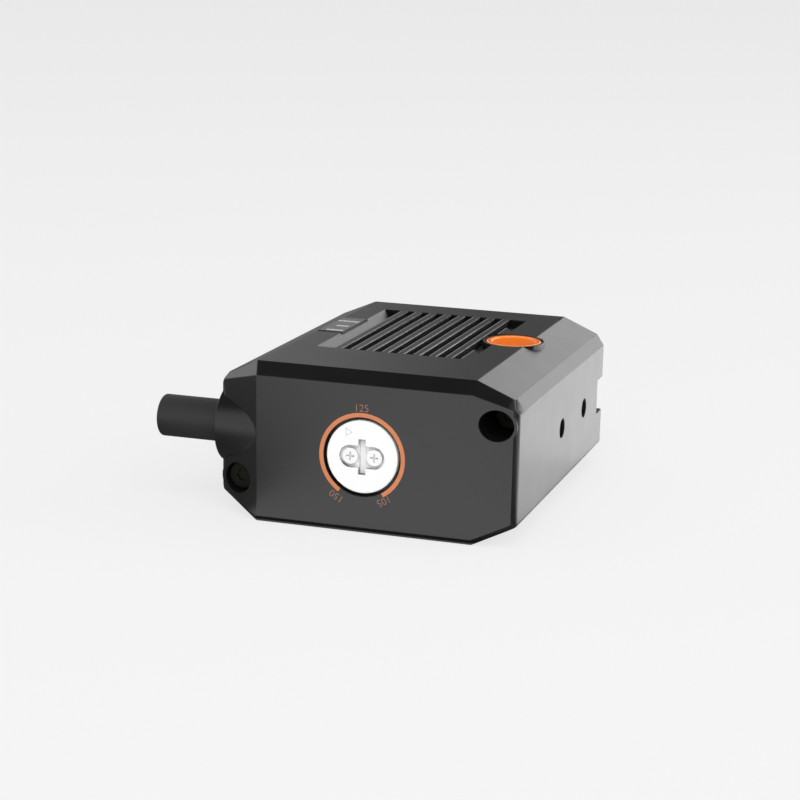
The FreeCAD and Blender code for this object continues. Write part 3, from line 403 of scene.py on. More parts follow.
    # Its rounded edges are painted lighter: a painted highlight.
    COVER = Finish("smoked_cover", (0.1, 0.1, 0.102), 0.34, Grain(0.1, 0.001, 0.1, 0.04), ior=1.55,
                   painted_light_shift=0.8)
    CABLE = Finish("cable_jacket_black", (0.02, 0.02, 0.021), 0.55, Grain(0.12, 0.003, 0.18, 0.05))
    SHIELD = Finish("tinned_braid", (0.55, 0.55, 0.53), 0.3, Grain(0.25, 0.05, 0.12, 0.06), 1.0,
                    lay=Lay.BRAID)
    CORE = Finish("core_insulation", (0.3, 0.07, 0.035), 0.5, Grain(0.12, 0.003, 0.1, 0.05))
    COPPER = Finish("copper_strand", (0.72, 0.3, 0.15), 0.3, Grain(0.05, 0.002, 0.15, 0.06), 1.0)
    PLUG = Finish("plug_cream", (0.68, 0.62, 0.46), 0.5, Grain(0.12, 0.003, 0.06, 0.05))


def stand(name: str, data: bpy.types.ID) -> bpy.types.Object:
    """Put an object with the given data in the scene.

    Args:
        name: The object's name.
        data: Its mesh, curve, lamp or camera.

    Returns:
        The new object.
    """
    made = bpy.data.objects.new(name, data)
    bpy.context.scene.collection.objects.link(made)
    return made


def evaluated(carrier: bpy.types.Object) -> bpy.types.Mesh:
    """Turn what a carrier's curve or modifiers give into a plain mesh, and remove the carrier.

    Args:
        carrier: An object in the scene.

    Returns:
        The plain mesh.
    """
    graph = bpy.context.evaluated_depsgraph_get()
    mesh = bpy.data.meshes.new_from_object(carrier.evaluated_get(graph), depsgraph=graph)
    bpy.data.objects.remove(carrier)
    return mesh


def place_piece(name: str, mesh: bpy.types.Mesh, finish: Finish, body: Body,
                replaces: Sequence[str] = (), inner: Optional[Finish] = None) -> bpy.types.Object:
    """Stand a finished mesh in the scene and tie it to its body.

    Args:
        name: The piece's name.
        mesh: Its mesh, in place.
        finish: What it is finished in.
        body: The body that it moves with.
        replaces: CAD nodes that it stands for.
        inner: Finish of the faces that the attribute inner marks.

    Returns:
        The new object.
    """
    mesh.materials.clear()
    mesh.materials.append(finish.material())
    if inner is not None:
        mesh.materials.append(inner.material())
        marks = [int(mark.value > 0.5) for mark in mesh.attributes["inner"].data]
        mesh.polygons.foreach_set("material_index", marks)
    piece = stand(name, mesh)
    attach(piece, body.value)
    if replaces:
        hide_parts(*replaces)
    log.info("%s: %d faces, rides on %s", name, len(mesh.polygons), body.value)
    return piece


def mesh_from(bm: bmesh.types.BMesh, name: str, sharp_degrees: float = 30.0) -> bpy.types.Mesh:
    """Close a bmesh into a mesh that is smooth except at sharp edges.

    Args:
        bm: The bmesh, which is freed.
        name: The mesh's name.
        sharp_degrees: Angle above which an edge stays sharp.

    Returns:
        The mesh.
    """
    mesh = bpy.data.meshes.new(name)
    bm.to_mesh(mesh)
    bm.free()
    mesh.shade_smooth()
    mesh.set_sharp_from_angle(angle=math.radians(sharp_degrees))
    return mesh


def joined(meshes: Sequence[bpy.types.Mesh], name: str) -> bpy.types.Mesh:
    """Join meshes into one.

    Args:
        meshes: The meshes, which are removed.
        name: The joined mesh's name.

    Returns:
        The joined mesh.
    """
    bm = bmesh.new()
    for mesh in meshes:
        bm.from_mesh(mesh)
        bpy.data.meshes.remove(mesh)
    return mesh_from(bm, name)


def lathe(profile: Sequence[Pair], axis: Axis, centre: Point, name: str,
          steps: int = 96) -> bpy.types.Mesh:
    """Turn a profile about an axis.

    Args:
        profile: Pairs of radius and distance along the axis, in millimetres, from one end to the other.
        axis: Axis that it is turned about.
        centre: Point on the axis that distances are counted from, in millimetres.
        name: The mesh's name.
        steps: Number of steps round.

    Returns:
        The turned mesh, closed where a radius is 0.
    """
    bm = bmesh.new()
    rings = []
    for radius, along in profile:
        count = steps if radius > 0.0 else 1
        ring = []
        for step in range(count):
            turn = 2.0 * math.pi * step / steps
            u, v = radius * math.cos(turn), radius * math.sin(turn)
            spot = {Axis.X: (along, u, v), Axis.Y: (u, along, v), Axis.Z: (u, v, along)}[axis]
            ring.append(bm.verts.new((Vector(spot) + Vector(centre)) * MM))
        rings.append(ring)
    for low, high in zip(rings, rings[1:]):
        for step in range(steps):
            after = (step + 1) % steps
            corners = [low[step % len(low)], low[after % len(low)],
                       high[after % len(high)], high[step % len(high)]]
            face = list(dict.fromkeys(corners))
            if len(face) > 2:
                bm.faces.new(face)
    bmesh.ops.recalc_face_normals(bm, faces=bm.faces)
    return mesh_from(bm, name)


def flat_solid(outline: Sequence[Pair], y0: float, y1: float) -> bmesh.types.BMesh:
    """Thin plate square to Y from an outline of X and Z, in millimetres.

    Args:
        outline: Corners in order.
        y0: Its rear.
        y1: Its front.

    Returns:
        The plate as a closed bmesh.
    """
    bm = bmesh.new()
    rear = [bm.verts.new((x * MM, y0 * MM, z * MM)) for x, z in outline]
    front = [bm.verts.new((x * MM, y1 * MM, z * MM)) for x, z in outline]
    bm.faces.new(rear)
    bm.faces.new(front[::-1])
    for index in range(len(outline)):
        after = (index + 1) % len(outline)
        bm.faces.new((rear[index], front[index], front[after], rear[after]))
    bmesh.ops.recalc_face_normals(bm, faces=bm.faces)
    return bm


@dataclass(frozen=True)
class RoundForm:
    """A round surface of a CAD mesh, whose facets are to shade as one."""

    axis: Axis
    centre: Pair
    radius: float
    fit: float = 0.03

    def holds(self, face: bmesh.types.BMFace) -> bool:
        """Whether a face belongs to this surface.

        Args:
            face: A face of the CAD mesh.

        Returns:
            True if every corner of it lies on the surface.
        """
        across = [index for index, axis in enumerate(Axis) if axis is not self.axis]
        for vert in face.verts:
            spot = [vert.co[index] / MM for index in across]
            if abs(math.dist(spot, self.centre) - self.radius) > self.fit:
                return False
        return True


@dataclass(frozen=True)
class Zone:
    """A box in millimetres, or a range of directions, without end on a side that isn't given."""

    x: Pair = (-99.0, 99.0)
    y: Pair = (-99.0, 99.0)
    z: Pair = (-99.0, 99.0)

    def holds(self, *spots: Vector) -> bool:
        """Whether every spot lies inside."""
        limits = (self.x, self.y, self.z)
        return all(low < part < high for spot in spots for part, (low, high) in zip(spot, limits))


@dataclass
class EdgeSoftener:
    """Rounds the sharp outer edges of a copy of a CAD mesh and keeps its flat faces flat."""

    MERGE: ClassVar[float] = 0.0008
    FLAT_DEGREES: ClassVar[float] = 0.5
    width: float = 0.1
    segments: int = 2
    crease_degrees: float = 32.0
    rounds: Sequence[RoundForm] = ()
    sunk: Sunk = Sunk.NONE
    sink: float = 0.008
    width_at: Optional[Callable[[Vector], float]] = None
    reshape: Optional[Callable[[Vector], Vector]] = None
    slit: Optional[Callable[[bmesh.types.BMFace], Optional[Vector]]] = None
    shade: Optional[Callable[[Vector, Vector], Vector]] = None
    marked: Optional[Callable[[bmesh.types.BMFace], float]] = None
    inner: Optional[Callable[[bmesh.types.BMFace], bool]] = None

    def copy(self, node: str) -> bpy.types.Mesh:
        """Make a merged and softened copy of a node's mesh.

        Args:
            node: The CAD node.

        Returns:
            The new mesh. Its face attribute painted_light_mask tells the softened or marked faces,
            which a finish paints lighter as a painted highlight or darker as painted shade, and inner the
            inner ones.
        """
        bm = bmesh.new()
        bm.from_mesh(self._rolled(node))
        bm.normal_update()
        painted_light_tone = bm.faces.layers.float.new("painted_light_mask")
        within = bm.faces.layers.float.new("inner")
        for face in bm.faces:
            face[painted_light_tone] = float(self.marked(face) if self.marked else face.material_index)
            face[within] = float(self.inner(face)) if self.inner else 0.0
        self._sink_face(bm)
        normals = self._normals(bm)
        mesh = bpy.data.meshes.new(node + "_softened")
        bm.to_mesh(mesh)
        bm.free()
        mesh.shade_smooth()
        mesh.normals_split_custom_set(normals)
        return mesh

    def _rolled(self, node: str) -> bpy.types.Mesh:
        """Merge a node's triangles into plain faces and round its convex creases.

        Args:
            node: The CAD node.

        Returns:
            The mesh, with material index 1 on the rounded faces.
        """
        bm = bmesh.new()
        bm.from_mesh(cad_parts[node].data)
        bmesh.ops.remove_doubles(bm, verts=bm.verts, dist=self.MERGE * MM)
        bmesh.ops.dissolve_degenerate(bm, edges=bm.edges, dist=self.MERGE * MM)
        bmesh.ops.dissolve_limit(bm, angle_limit=math.radians(self.FLAT_DEGREES), verts=bm.verts,
                                edges=bm.edges)
        for vert in bm.verts if self.reshape else ():
            vert.co = self.reshape(vert.co / MM) * MM
        for face in list(bm.faces) if self.slit else ():
            cut = self.slit(face)
            if cut is not None:
                parts = [face, *face.edges, *face.verts]
                bmesh.ops.bisect_plane(bm, geom=parts, plane_co=cut * MM, plane_no=cut.normalized())
        for face in bm.faces:
            face.material_index = 0
        share = bm.edges.layers.float.new("bevel_weight_edge")
        widths: dict[bmesh.types.BMEdge, float] = {}
        for edge in bm.edges:
            if edge.is_convex and self._is_crease(edge):
                middle = (edge.verts[0].co + edge.verts[1].co) / 2.0 / MM
                widths[edge] = self.width_at(middle) if self.width_at else self.width
        widest = max(widths.values())
        for edge, width in widths.items():
            edge[share] = width / widest
        mesh = bpy.data.meshes.new(node + "_merged")
        bm.to_mesh(mesh)
        bm.free()
        mesh.materials.clear()
        for _ in range(2):
            mesh.materials.append(None)
        carrier = stand(node + "_carrier", mesh)
        roll = carrier.modifiers.new("roll", "BEVEL")
        roll.limit_method = "WEIGHT"
        roll.width = widest * MM
        roll.segments = self.segments
        roll.use_clamp_overlap = False
        roll.material = 1
        return evaluated(carrier)

    def _is_crease(self, edge: bmesh.types.BMEdge) -> bool:
        """Whether an edge is to be rounded or kept sharp.

        Args:
            edge: An edge of the mesh.

        Returns:
            True if its faces meet at an angle and aren't facets of one round form.
        """
        if len(edge.link_faces) != 2 or edge.calc_face_angle(0.0) < math.radians(self.crease_degrees):
            return False
        return not any(all(form.holds(face) for face in edge.link_faces) for form in self.rounds)

    def _sink_face(self, bm: bmesh.types.BMesh) -> None:
        """Move one outer face in a little, so that print on it stays inside the model's box.

        Args:
            bm: The softened bmesh.
        """
        if self.sunk is Sunk.REAR:
            limit = min(vert.co.y for vert in bm.verts) + self.sink * MM
            for vert in bm.verts:
                vert.co.y = max(vert.co.y, limit)
        elif self.sunk is Sunk.TOP:
            limit = max(vert.co.z for vert in bm.verts) - self.sink * MM
            for vert in bm.verts:
                vert.co.z = min(vert.co.z, limit)

    def _normals(self, bm: bmesh.types.BMesh) -> list[Vector]:
        """Work out each corner's normal.

        Args:
            bm: The softened bmesh, with material index 1 on its rounded faces.

        Returns:
            Normals in the order of the faces' corners: a plain face keeps its own, facets of a
            round form share one, and a rounded face takes its plain neighbours'.
        """
        table: dict[tuple[int, int], Vector] = {}
        bm.faces.index_update()
        bm.verts.index_update()
        for vert in bm.verts:
            fans = self._fans(vert, [loop for loop in vert.link_loops if not loop.face.material_index])
            if self.shade:
                fans = {index: self.shade(vert.co / MM, normal) for index, normal in fans.items()}
            for index, normal in fans.items():
                table[index, vert.index] = normal
            rolled = [loop for loop in vert.link_loops if loop.face.material_index]
            shared = sum((loop.face.normal * loop.calc_angle() for loop in rolled), Vector()).normalized()
            shared = self.shade(vert.co / MM, shared) if self.shade else shared
            for loop in rolled:
                near = max(fans.values(), key=loop.face.normal.dot, default=shared)
                table[loop.face.index, vert.index] = near
        return [table[face.index, loop.vert.index] for face in bm.faces for loop in face.loops]

    def _fans(self, vert: bmesh.types.BMVert, plain: Sequence[bmesh.types.BMLoop]) -> dict[int, Vector]:
        """Shared normals of the plain faces at a vertex.

        Args:
            vert: The vertex.
            plain: Its corners in faces that aren't rounded.

        Returns:
            The normal for each face's index.
        """
        group = {loop.face.index: loop.face.index for loop in plain}
        for edge in vert.link_edges:
            pair = [face.index for face in edge.link_faces]
            if len(pair) != 2 or not all(index in group for index in pair) or self._is_crease(edge):
                continue
            old, new = group[pair[0]], group[pair[1]]
            group = {index: new if owner == old else owner for index, owner in group.items()}
        sums: dict[int, Vector] = {}
        for loop in plain:
            owner = group[loop.face.index]
            sums[owner] = sums.get(owner, Vector()) + loop.face.normal * loop.calc_angle()
        return {index: sums[owner].normalized() for index, owner in group.items()}


class GeometryTree:
    """A Geometry Nodes tree with named inputs, baked to a plain mesh."""

    def __init__(self, name: str) -> None:
        """Start an empty tree with one geometry output.

        Args:
            name: The tree's name.
        """
        self.tree = bpy.data.node_groups.new(name, "GeometryNodeTree")
        self.desk = NodeDesk(self.tree)
        self.tree.interface.new_socket("Geometry", in_out="OUTPUT", socket_type="NodeSocketGeometry")
        self.source = self.desk.add("NodeGroupInput")
        self.target = self.desk.add("NodeGroupOutput")
        self.values: dict[str, object] = {}

    def take(self, name: str, value: float, whole: bool = False) -> bpy.types.NodeSocket:
        """Add a named input and its value.

        Args:
            name: The input's name.
            value: The value that this object uses.
            whole: Whether it is a whole number.

        Returns:
            The input's socket in the tree.
        """
        kind = "NodeSocketInt" if whole else "NodeSocketFloat"
        socket = self.tree.interface.new_socket(name, in_out="INPUT", socket_type=kind)
        self.values[socket.identifier] = int(value) if whole else float(value)
        return self.source.outputs[name]

    def feed(self, socket: bpy.types.NodeSocket, name: str, value: float, whole: bool = False) -> None:
        """Add a named input and join it to a node's socket."""
        self.desk.link(self.take(name, value, whole), socket)

    def spread(self, points: bpy.types.NodeSocket, shape: bpy.types.NodeSocket) -> bpy.types.Node:
        """Set a shape on every point.

        Args:
            points: Where the copies go.
            shape: What is copied.

        Returns:
            The node that gives the copies.
        """
        node = self.desk.add("GeometryNodeInstanceOnPoints")
        self.desk.link(points, node.inputs["Points"])
        self.desk.link(shape, node.inputs["Instance"])
        return node

    def close(self, geometry: bpy.types.NodeSocket, finish: Finish) -> None:
        """End the tree in real geometry with its material.

        Args:
            geometry: What the tree has built.
            finish: Its finish.
        """
        real = self.desk.add("GeometryNodeRealizeInstances")
        dress = self.desk.add("GeometryNodeSetMaterial")
        dress.inputs["Material"].default_value = finish.material()
        self.desk.link(geometry, real.inputs["Geometry"])
        self.desk.link(real.outputs["Geometry"], dress.inputs["Geometry"])
        self.desk.link(dress.outputs["Geometry"], self.target.inputs["Geometry"])

    def bake(self, name: str) -> bpy.types.Mesh:
        """Evaluate the tree on an empty carrier.

        Args:
            name: The mesh's name.

        Returns:
            The plain mesh.
        """
        carrier = stand(name + "_carrier", bpy.data.meshes.new(name + "_empty"))
        modifier = carrier.modifiers.new("tree", "NODES")
        modifier.node_group = self.tree
        for identifier, value in self.values.items():
            modifier[identifier] = value
        mesh = evaluated(carrier)
        mesh.name = name
        return mesh


@dataclass
class HousingShell:
    """Die-cast housing and bezel with softened edges, and the small forms on the deck."""

    FACET: ClassVar[Vector] = Vector((0.835, 0.0, 0.55)).normalized()
    SIDE: ClassVar[Vector] = Vector((1.0, 0.0, 0.0))
    REAR_TOP: ClassVar[Vector] = Vector((0.0, -0.75, 0.65))
    NEAR: ClassVar[float] = 0.05
    FIT: ClassVar[float] = 0.03
    edge: float = 0.1
    corner_edge: float = 0.32
    long_edge: float = 0.02
    hole_edge: float = 0.18
    lip_edge: float = 0.15
    lip_swing: float = 0.08
    turret_edge: float = 0.08
    fin_edge: float = 0.2
    plain_edge_highlight: float = 0.03
    seam: float = 20.5
    seam_film: float = 0.005
    seam_reach: float = 0.15
    seam_margin: float = 0.2
    rim_margin: float = 0.5
    bore_stretch: float = 1.14
    bore_mouth: float = -20.0
    bore_rim: float = -23.85
    moved: tuple[tuple[Point, Point], ...] = (
        ((19.94, -23.13, 19.51), (19.94, -22.0, 19.51)),
        ((15.0, -24.0, 0.6), (15.0, -24.0, 0.85)),
        ((15.0, -23.65, 0.0), (15.0, -23.45, 0.0)),
        ((-14.85, -24.0, 0.6), (-14.85, -24.0, 0.82)),
        ((-14.85, -22.25, 21.7), (-15.45, -22.25, 21.7)))
    fin_left: float = -8.7
    fin_pitch: float = 2.25
    fin_count: int = 8
    fin_swell: float = 0.28
    fin_fit: float = 0.01
    fin_line: float = 0.15
    fin_line_inset: float = 0.15
    fin_span: Pair = (-10.6, 17.9)
    deck: float = 21.7
    film: float = 0.004
    land_floor: float = 20.6
    lands: tuple[tuple[Pair, ...], ...] = (
        ((9.15, -11.1), (10.75, -11.1), (10.75, -7.3), (9.15, -4.3)),
        ((9.15, 7.0), (10.5, 7.6), (10.75, 7.6), (10.75, 9.6), (9.15, 12.1)))
    land_lines: tuple[Pair, ...] = ((-10.8, -4.7), (7.3, 11.8))
    screws: tuple[Pair, ...] = ((18.05, 16.35), (-18.05, 5.35))
    counterbore: float = 2.05
    boss: float = 2.75
    dial_middle: Pair = (0.0, 10.4)
    dial_recess: float = 5.32
    cable_middle: Pair = (-18.7, 12.0)
    cable_boss: float = 5.25
    cable_bore: float = 3.93
    side_holes: tuple[Pair, ...] = ((-0.6, 10.85), (12.2, 10.85))
    side_hole: float = 1.25
    side_wall: float = 20.9
    hole_floor: float = 15.0
    hole_reach: float = 1.1
    hole_fit: float = 0.02
    trigger_middle: Pair = (12.55, 3.7)
    turret: float = 4.3
    turret_foot: float = 21.0
    well: float = 3.95
    well_floor: float = 19.0
    # How far right of the button the turret wall gets painted shade.
    painted_shade_wall: float = 3.7
    hip: Pair = (20.2, 3.86)
    hip_round: float = 0.8
    hip_drop: float = 0.35
    hip_rear: float = -23.2
    window_middle: tuple[Pair, ...] = ((13.0, 5.2), (13.0, 16.6))
    window_rounds: Pair = (2.0, 2.9)
    fade: float = 19.55
    fade_reach: Pair = (14.5, 20.0)
    facet_fade: float = -20.9
    facet_rear: float = -22.0
    facet_fit: Pair = (0.98, 0.99)
    facet_turn: float = 0.42
    bevel_turn: Pair = (0.34, 0.14)
    bevel_middle: float = 19.0
    bevel_swing: Pair = (-0.95, -0.2)
    upright_turn: Pair = (0.25, 0.58)
    upright_middle: float = 20.8
    shoulder_lean: float = 0.3
    ramp_lean: float = 0.4
    bevel_lean: Zone = Zone(y=(-0.9, -0.4), z=(0.4, 99.0))
    upright_lean: Zone = Zone(x=(0.5, 99.0), z=(-0.3, 0.3))
    upright_zone: Zone = Zone((20.7, 99.0), (-99.0, -22.9), (-99.0, 17.0))
    shoulder_zone: Zone = Zone((19.6, 99.0), (-99.0, -21.5), (17.6, 99.0))
    hip_zone: Zone = Zone((20.3, 99.0), (-23.9, 99.0), (-99.0, 4.0))
    fin_zone: Zone = Zone(y=(-11.0, 18.3), z=(20.6, 99.0))
    fin_faces: Zone = Zone((-11.3, 9.0), (-10.7, 18.0), (21.4, 99.0))
    fin_edges: Zone = Zone((-11.2, 9.0), (-10.7, 18.0), (21.6, 99.0))
    cavity: Zone = Zone((-19.3, 19.3), (-21.5, 99.0), (1.6, 19.3))
    thin_walls: Zone = Zone((-14.8, -11.3), (-11.5, 18.5), (20.7, 99.0))
    corner_zone: Zone = Zone((20.3, 99.0), (-23.9, -22.0), (-99.0, 18.0))
    long_zone: Zone = Zone((19.9, 99.0), (-22.1, 10.0), (17.8, 99.0))
    rim_zone: Zone = Zone((19.5, 99.0), (-99.0, 23.4), (17.5, 99.0))
    pocket_depth: Zone = Zone(z=(20.5, 21.62))
    pocket: Zone = Zone((-11.46, 10.46), (-10.85, 18.15))
    panel_bed: Zone = Zone((-14.8, -11.46), (-1.2, 9.2))

    def build(self) -> None:
        """Copy, soften and dress the housing and the bezel, then set the small forms on the deck."""
        shell = EdgeSoftener(segments=3, crease_degrees=6.0, rounds=self._housing_rounds(),
                             sunk=Sunk.REAR, width_at=self._shell_width, reshape=self._shell_corner,
                             slit=self._fade_cut, shade=self._fade_normal, marked=self._painted_light_share,
                             inner=self._is_recess).copy("main_housing")
        # Faces in recesses take the darker painted recess shade.
        place_piece("housing_shell", shell, Finishes.COAT, Body.HOUSING, ["main_housing"],
                    Finishes.RECESS_SHADE)
        rim = EdgeSoftener(crease_degrees=6.0, rounds=self._bezel_rounds(), width_at=self._rim_width,
                           reshape=self._rim_corner, marked=self._painted_light_share).copy("front_bezel")
        place_piece("bezel_frame", rim, Finishes.COAT, Body.HOUSING, ["front_bezel"])
        self._slabs("pocket_lands", self.lands, self.land_floor, self.deck + self.film, Finishes.COAT)
        # The thin lighter strips along the lands' left edges, and those on the fins, are painted highlight
        # lines.
        left = self.lands[0][0][0] + self.film
        right = left + self.fin_line
        lines = [((left, rear), (right, rear), (right, front), (left, front))
                 for rear, front in self.land_lines]
        self._slabs("land_highlight_lines", lines, self.deck, self.deck + 2 * self.film, Finishes.HIGHLIGHT_COAT)
        self._fin_lines()

    def _slabs(self, name: str, outlines: Sequence[Sequence[Pair]], low: float, high: float,
               finish: Finish) -> None:
        """Stand upright slabs on the pocket's floor or the deck.

        Args:
            name: The piece's name.
            outlines: Corners of each slab in plan, as X and Y in millimetres.
            low: Their underside.
            high: Their top.
            finish: Their finish.
        """
        slabs = []
        for outline in outlines:
            slab = mesh_from(flat_solid([(x, -y) for x, y in outline], low, high), "slab")
            slab.transform(Matrix.Rotation(math.radians(90), 4, "X"))
            slabs.append(slab)
        place_piece(name, joined(slabs, name), finish, Body.HOUSING)

    def _fin_lines(self) -> None:
        """Lay a painted highlight line along the left edge of every fin."""
        tree = GeometryTree("fin_highlight_lines")
        rear, front = self.fin_span
        size = tree.desk.add("ShaderNodeCombineXYZ")
        tree.feed(size.inputs["X"], "Line width", self.fin_line * MM)
        tree.feed(size.inputs["Y"], "Line length", (front - rear) * MM)
        tree.feed(size.inputs["Z"], "Line height", self.film * MM)
        line = tree.desk.add("GeometryNodeMeshCube")
        tree.desk.link(size.outputs["Vector"], line.inputs["Size"])
        row = tree.desk.add("GeometryNodeMeshLine")
        tree.feed(row.inputs["Count"], "Fins", self.fin_count, True)
        step = tree.desk.add("ShaderNodeCombineXYZ")
        tree.feed(step.inputs["X"], "Fin pitch", self.fin_pitch * MM)
        tree.desk.link(step.outputs["Vector"], row.inputs["Offset"])
        lines = tree.spread(row.outputs["Mesh"], line.outputs["Mesh"])
        tree.close(lines.outputs["Instances"], Finishes.HIGHLIGHT_COAT)
        mesh = tree.bake("fin_highlight_lines")
        first = self.fin_left - self.fin_swell + self.fin_line_inset + self.fin_line / 2
        start = Vector((first, (rear + front) / 2, self.deck + self.film / 2))
        mesh.transform(Matrix.Translation(start * MM))
        place_piece("fin_highlight_lines", mesh, Finishes.HIGHLIGHT_COAT, Body.HOUSING)

    def _hips(self) -> list[RoundForm]:
        """The rounded lower side corners."""
        x, z = self.hip
        return [RoundForm(Axis.Y, middle, self.hip_round) for middle in ((x, z - self.hip_drop), (-x, z))]

    def _hip_corner(self, spot: Vector) -> Vector:
        """Where a corner of the lower right hip goes.

        Args:
            spot: A corner of the housing or the bezel, in millimetres.

        Returns:
            A place a little lower than in the plain model, with a wider chamfer, if it is on the hip.
        """
        if not self.hip_zone.holds(spot):
            return spot
        return Vector((spot.x, max(spot.y, self.hip_rear), spot.z - self.hip_drop))

    def _housing_rounds(self) -> list[RoundForm]:
        """List the round surfaces of the housing.

        Returns:
            The hips, bores, bosses, wells and holes.
        """
        forms = self._hips()
        for middle in self.screws:
            forms += [RoundForm(Axis.Y, middle, radius) for radius in (self.counterbore, self.boss)]
        forms.append(RoundForm(Axis.Y, self.dial_middle, self.dial_recess))
        for radius in (self.cable_boss, self.cable_bore):
            forms.append(RoundForm(Axis.X, self.cable_middle, radius))
        forms += [RoundForm(Axis.X, middle, self.side_hole) for middle in self.side_holes]
        forms += [RoundForm(Axis.Z, self.trigger_middle, radius) for radius in (self.turret, self.well)]
        return forms

    def _bezel_rounds(self) -> list[RoundForm]:
        """List the round surfaces of the bezel.

        Returns:
            The hips and the corners of the window's opening.
        """
        forms = self._hips()
        for x, z in self.window_middle:
            for side in (1, -1):
                forms += [RoundForm(Axis.Y, (side * x, z), radius) for radius in self.window_rounds]
        return forms

    def _shell_corner(self, spot: Vector) -> Vector:
        """Where a corner of the housing goes.

        Args:
            spot: The corner, in millimetres.

        Returns:
            Its new place: the cast corners and fins are fuller than the plain model's, and the right
            counterbore is a slot.
        """
        for old, new in self.moved:
            if (spot - Vector(old)).length < self.NEAR:
                return Vector(new)
        x, z = self.screws[0]
        if spot.y < self.bore_mouth and math.hypot(spot.x - x, spot.z - z) < self.counterbore + self.NEAR:
            return Vector((x + (spot.x - x) * self.bore_stretch, spot.y, spot.z))
        place = (spot.x - self.fin_left) / self.fin_pitch
        wall = 0 <= round(place) < self.fin_count and abs(place - round(place)) < self.fin_fit
        if wall and self.fin_zone.holds(spot):
            return spot - Vector((self.fin_swell, 0.0, 0.0))
        return self._hip_corner(spot)

    def _fade_cut(self, face: bmesh.types.BMFace) -> Optional[Vector]:
        """Where a face at the right rear top corner is cut, so that its end can round off.

        Args:
            face: A face of the housing.

        Returns:
            A point that the cut passes through, square to the line from the origin, or none.
        """
        spots = [vert.co / MM for vert in face.verts]
        inner, outer = self.fade_reach
        if min(spot.x for spot in spots) < inner or max(spot.x for spot in spots) < outer:
            return None
        if self.bevel_lean.holds(face.normal):
            return Vector((self.fade, 0.0, 0.0))
        rear = min(spot.y for spot in spots) < self.facet_rear
        facet = rear and face.normal.dot(self.FACET) > self.facet_fit[1]
        return Vector((0.0, self.facet_fade, 0.0)) if facet else None

    def _fade_normal(self, spot: Vector, normal: Vector) -> Vector:
        """Normal at a corner of the shell.

        Args:
            spot: The corner, in millimetres.
            normal: The normal of its face or rounding.

        Returns:
            The normal, turned where the cast right rear corner rounds off softly.
        """
        if self.upright_zone.holds(spot) and self.upright_lean.holds(normal):
            share = self.upright_turn[spot.x >= self.upright_middle]
            return normal.lerp(self.SIDE, share).normalized()
        if not self.shoulder_zone.holds(spot) or normal.z < self.shoulder_lean:
            return normal
        if self.bevel_swing[0] < normal.y < self.bevel_swing[1]:
            share = self.bevel_turn[spot.z <= self.bevel_middle]
            return normal.lerp(self.FACET, share).normalized()
        if normal.dot(self.FACET) > self.facet_fit[0]:
            return normal.lerp(self.REAR_TOP, self.facet_turn).normalized()
        return normal

    def _painted_light_share(self, face: bmesh.types.BMFace) -> float:
        """How strongly a face gets the painted edge highlight.

        Args:
            face: A face of the softened mesh.

        Returns:
            1 on the fins' rounded edges, little on other rounded edges and 0 on a plain face.
        """
        if not face.material_index:
            return 0.0
        fin = self.fin_faces.holds(face.calc_center_median() / MM)
        return 1.0 if fin else self.plain_edge_highlight

    def _rim_corner(self, spot: Vector) -> Vector:
        """Where a corner of the bezel goes: its rear closes the seam."""
        placed = self._hip_corner(spot)
        rear = spot.y < self.seam + self.seam_reach
        return Vector((placed.x, self.seam + self.seam_film, placed.z)) if rear else placed

    def _lip(self, x: float, reach: float) -> float:
        """Width of the rounding at the well's mouth, narrower on the right."""
        return self.lip_edge - self.lip_swing * (x - self.trigger_middle[0]) / reach

    def _shell_width(self, spot: Vector) -> float:
        """Width of the rounding at an edge of the housing.

        Args:
            spot: The edge's middle, in millimetres.

        Returns:
            The width in millimetres, and 0 in the cavity, at the seam and on the thin walls by the
            indicator.
        """
        either = Vector((abs(spot.x), spot.y, spot.z))
        inside = self.cavity.holds(spot) or self.thin_walls.holds(spot)
        if inside or spot.y > self.seam - self.seam_margin:
            return 0.0
        if self.corner_zone.holds(spot):
            return self.corner_edge
        if self.long_zone.holds(either):
            return self.long_edge
        mouth = self.hole_reach * self.side_hole
        if either.x > self.side_wall and any(math.dist(spot.yz, hole) < mouth for hole in self.side_holes):
            return self.hole_edge
        reach = math.dist(spot.xy, self.trigger_middle)
        if spot.z > self.turret_foot and reach < self.turret + self.NEAR:
            return self._lip(spot.x, reach) if reach < self.well + self.NEAR else self.turret_edge
        return self.fin_edge if self.fin_edges.holds(spot) else self.edge

    def _rim_width(self, spot: Vector) -> float:
        """Width of the rounding at an edge of the bezel.

        Args:
            spot: The edge's middle, in millimetres.

        Returns:
            The width in millimetres, and 0 at the seam.
        """
        if spot.y < self.seam + self.rim_margin:
            return 0.0
        either = Vector((abs(spot.x), spot.y, spot.z))
        return self.long_edge if self.rim_zone.holds(either) else self.edge

    def _in_well(self, spots: Sequence[Vector]) -> bool:
        """Whether a face lies in the button's well or on the left part of its turret, which get painted
        shade.

        Args:
            spots: The face's corners, in millimetres.

        Returns:
            True if it does.
        """
        if min(spot.z for spot in spots) <= self.well_floor:
            return False
        reaches = [math.dist(spot.xy, self.trigger_middle) for spot in spots]
        far = max(reaches)
        if far < self.well + self._lip(spots[0].x, far) + self.FIT:
            return True
        left = max(spot.x for spot in spots) < self.trigger_middle[0] + self.painted_shade_wall
        return left and min(reaches) > self.turret - self.FIT and far < self.turret + self.FIT

    def _in_side_hole(self, spots: Sequence[Vector]) -> bool:
        """Whether a face lies in a side hole.

        Args:
            spots: The face's corners, in millimetres.

        Returns:
            True if it does.
        """
        if min(abs(spot.x) for spot in spots) <= self.hole_floor:
            return False
        wide = self.side_hole + self.hole_edge + self.hole_fit
        return any(all(math.dist(spot.yz, hole) < wide for spot in spots) for hole in self.side_holes)

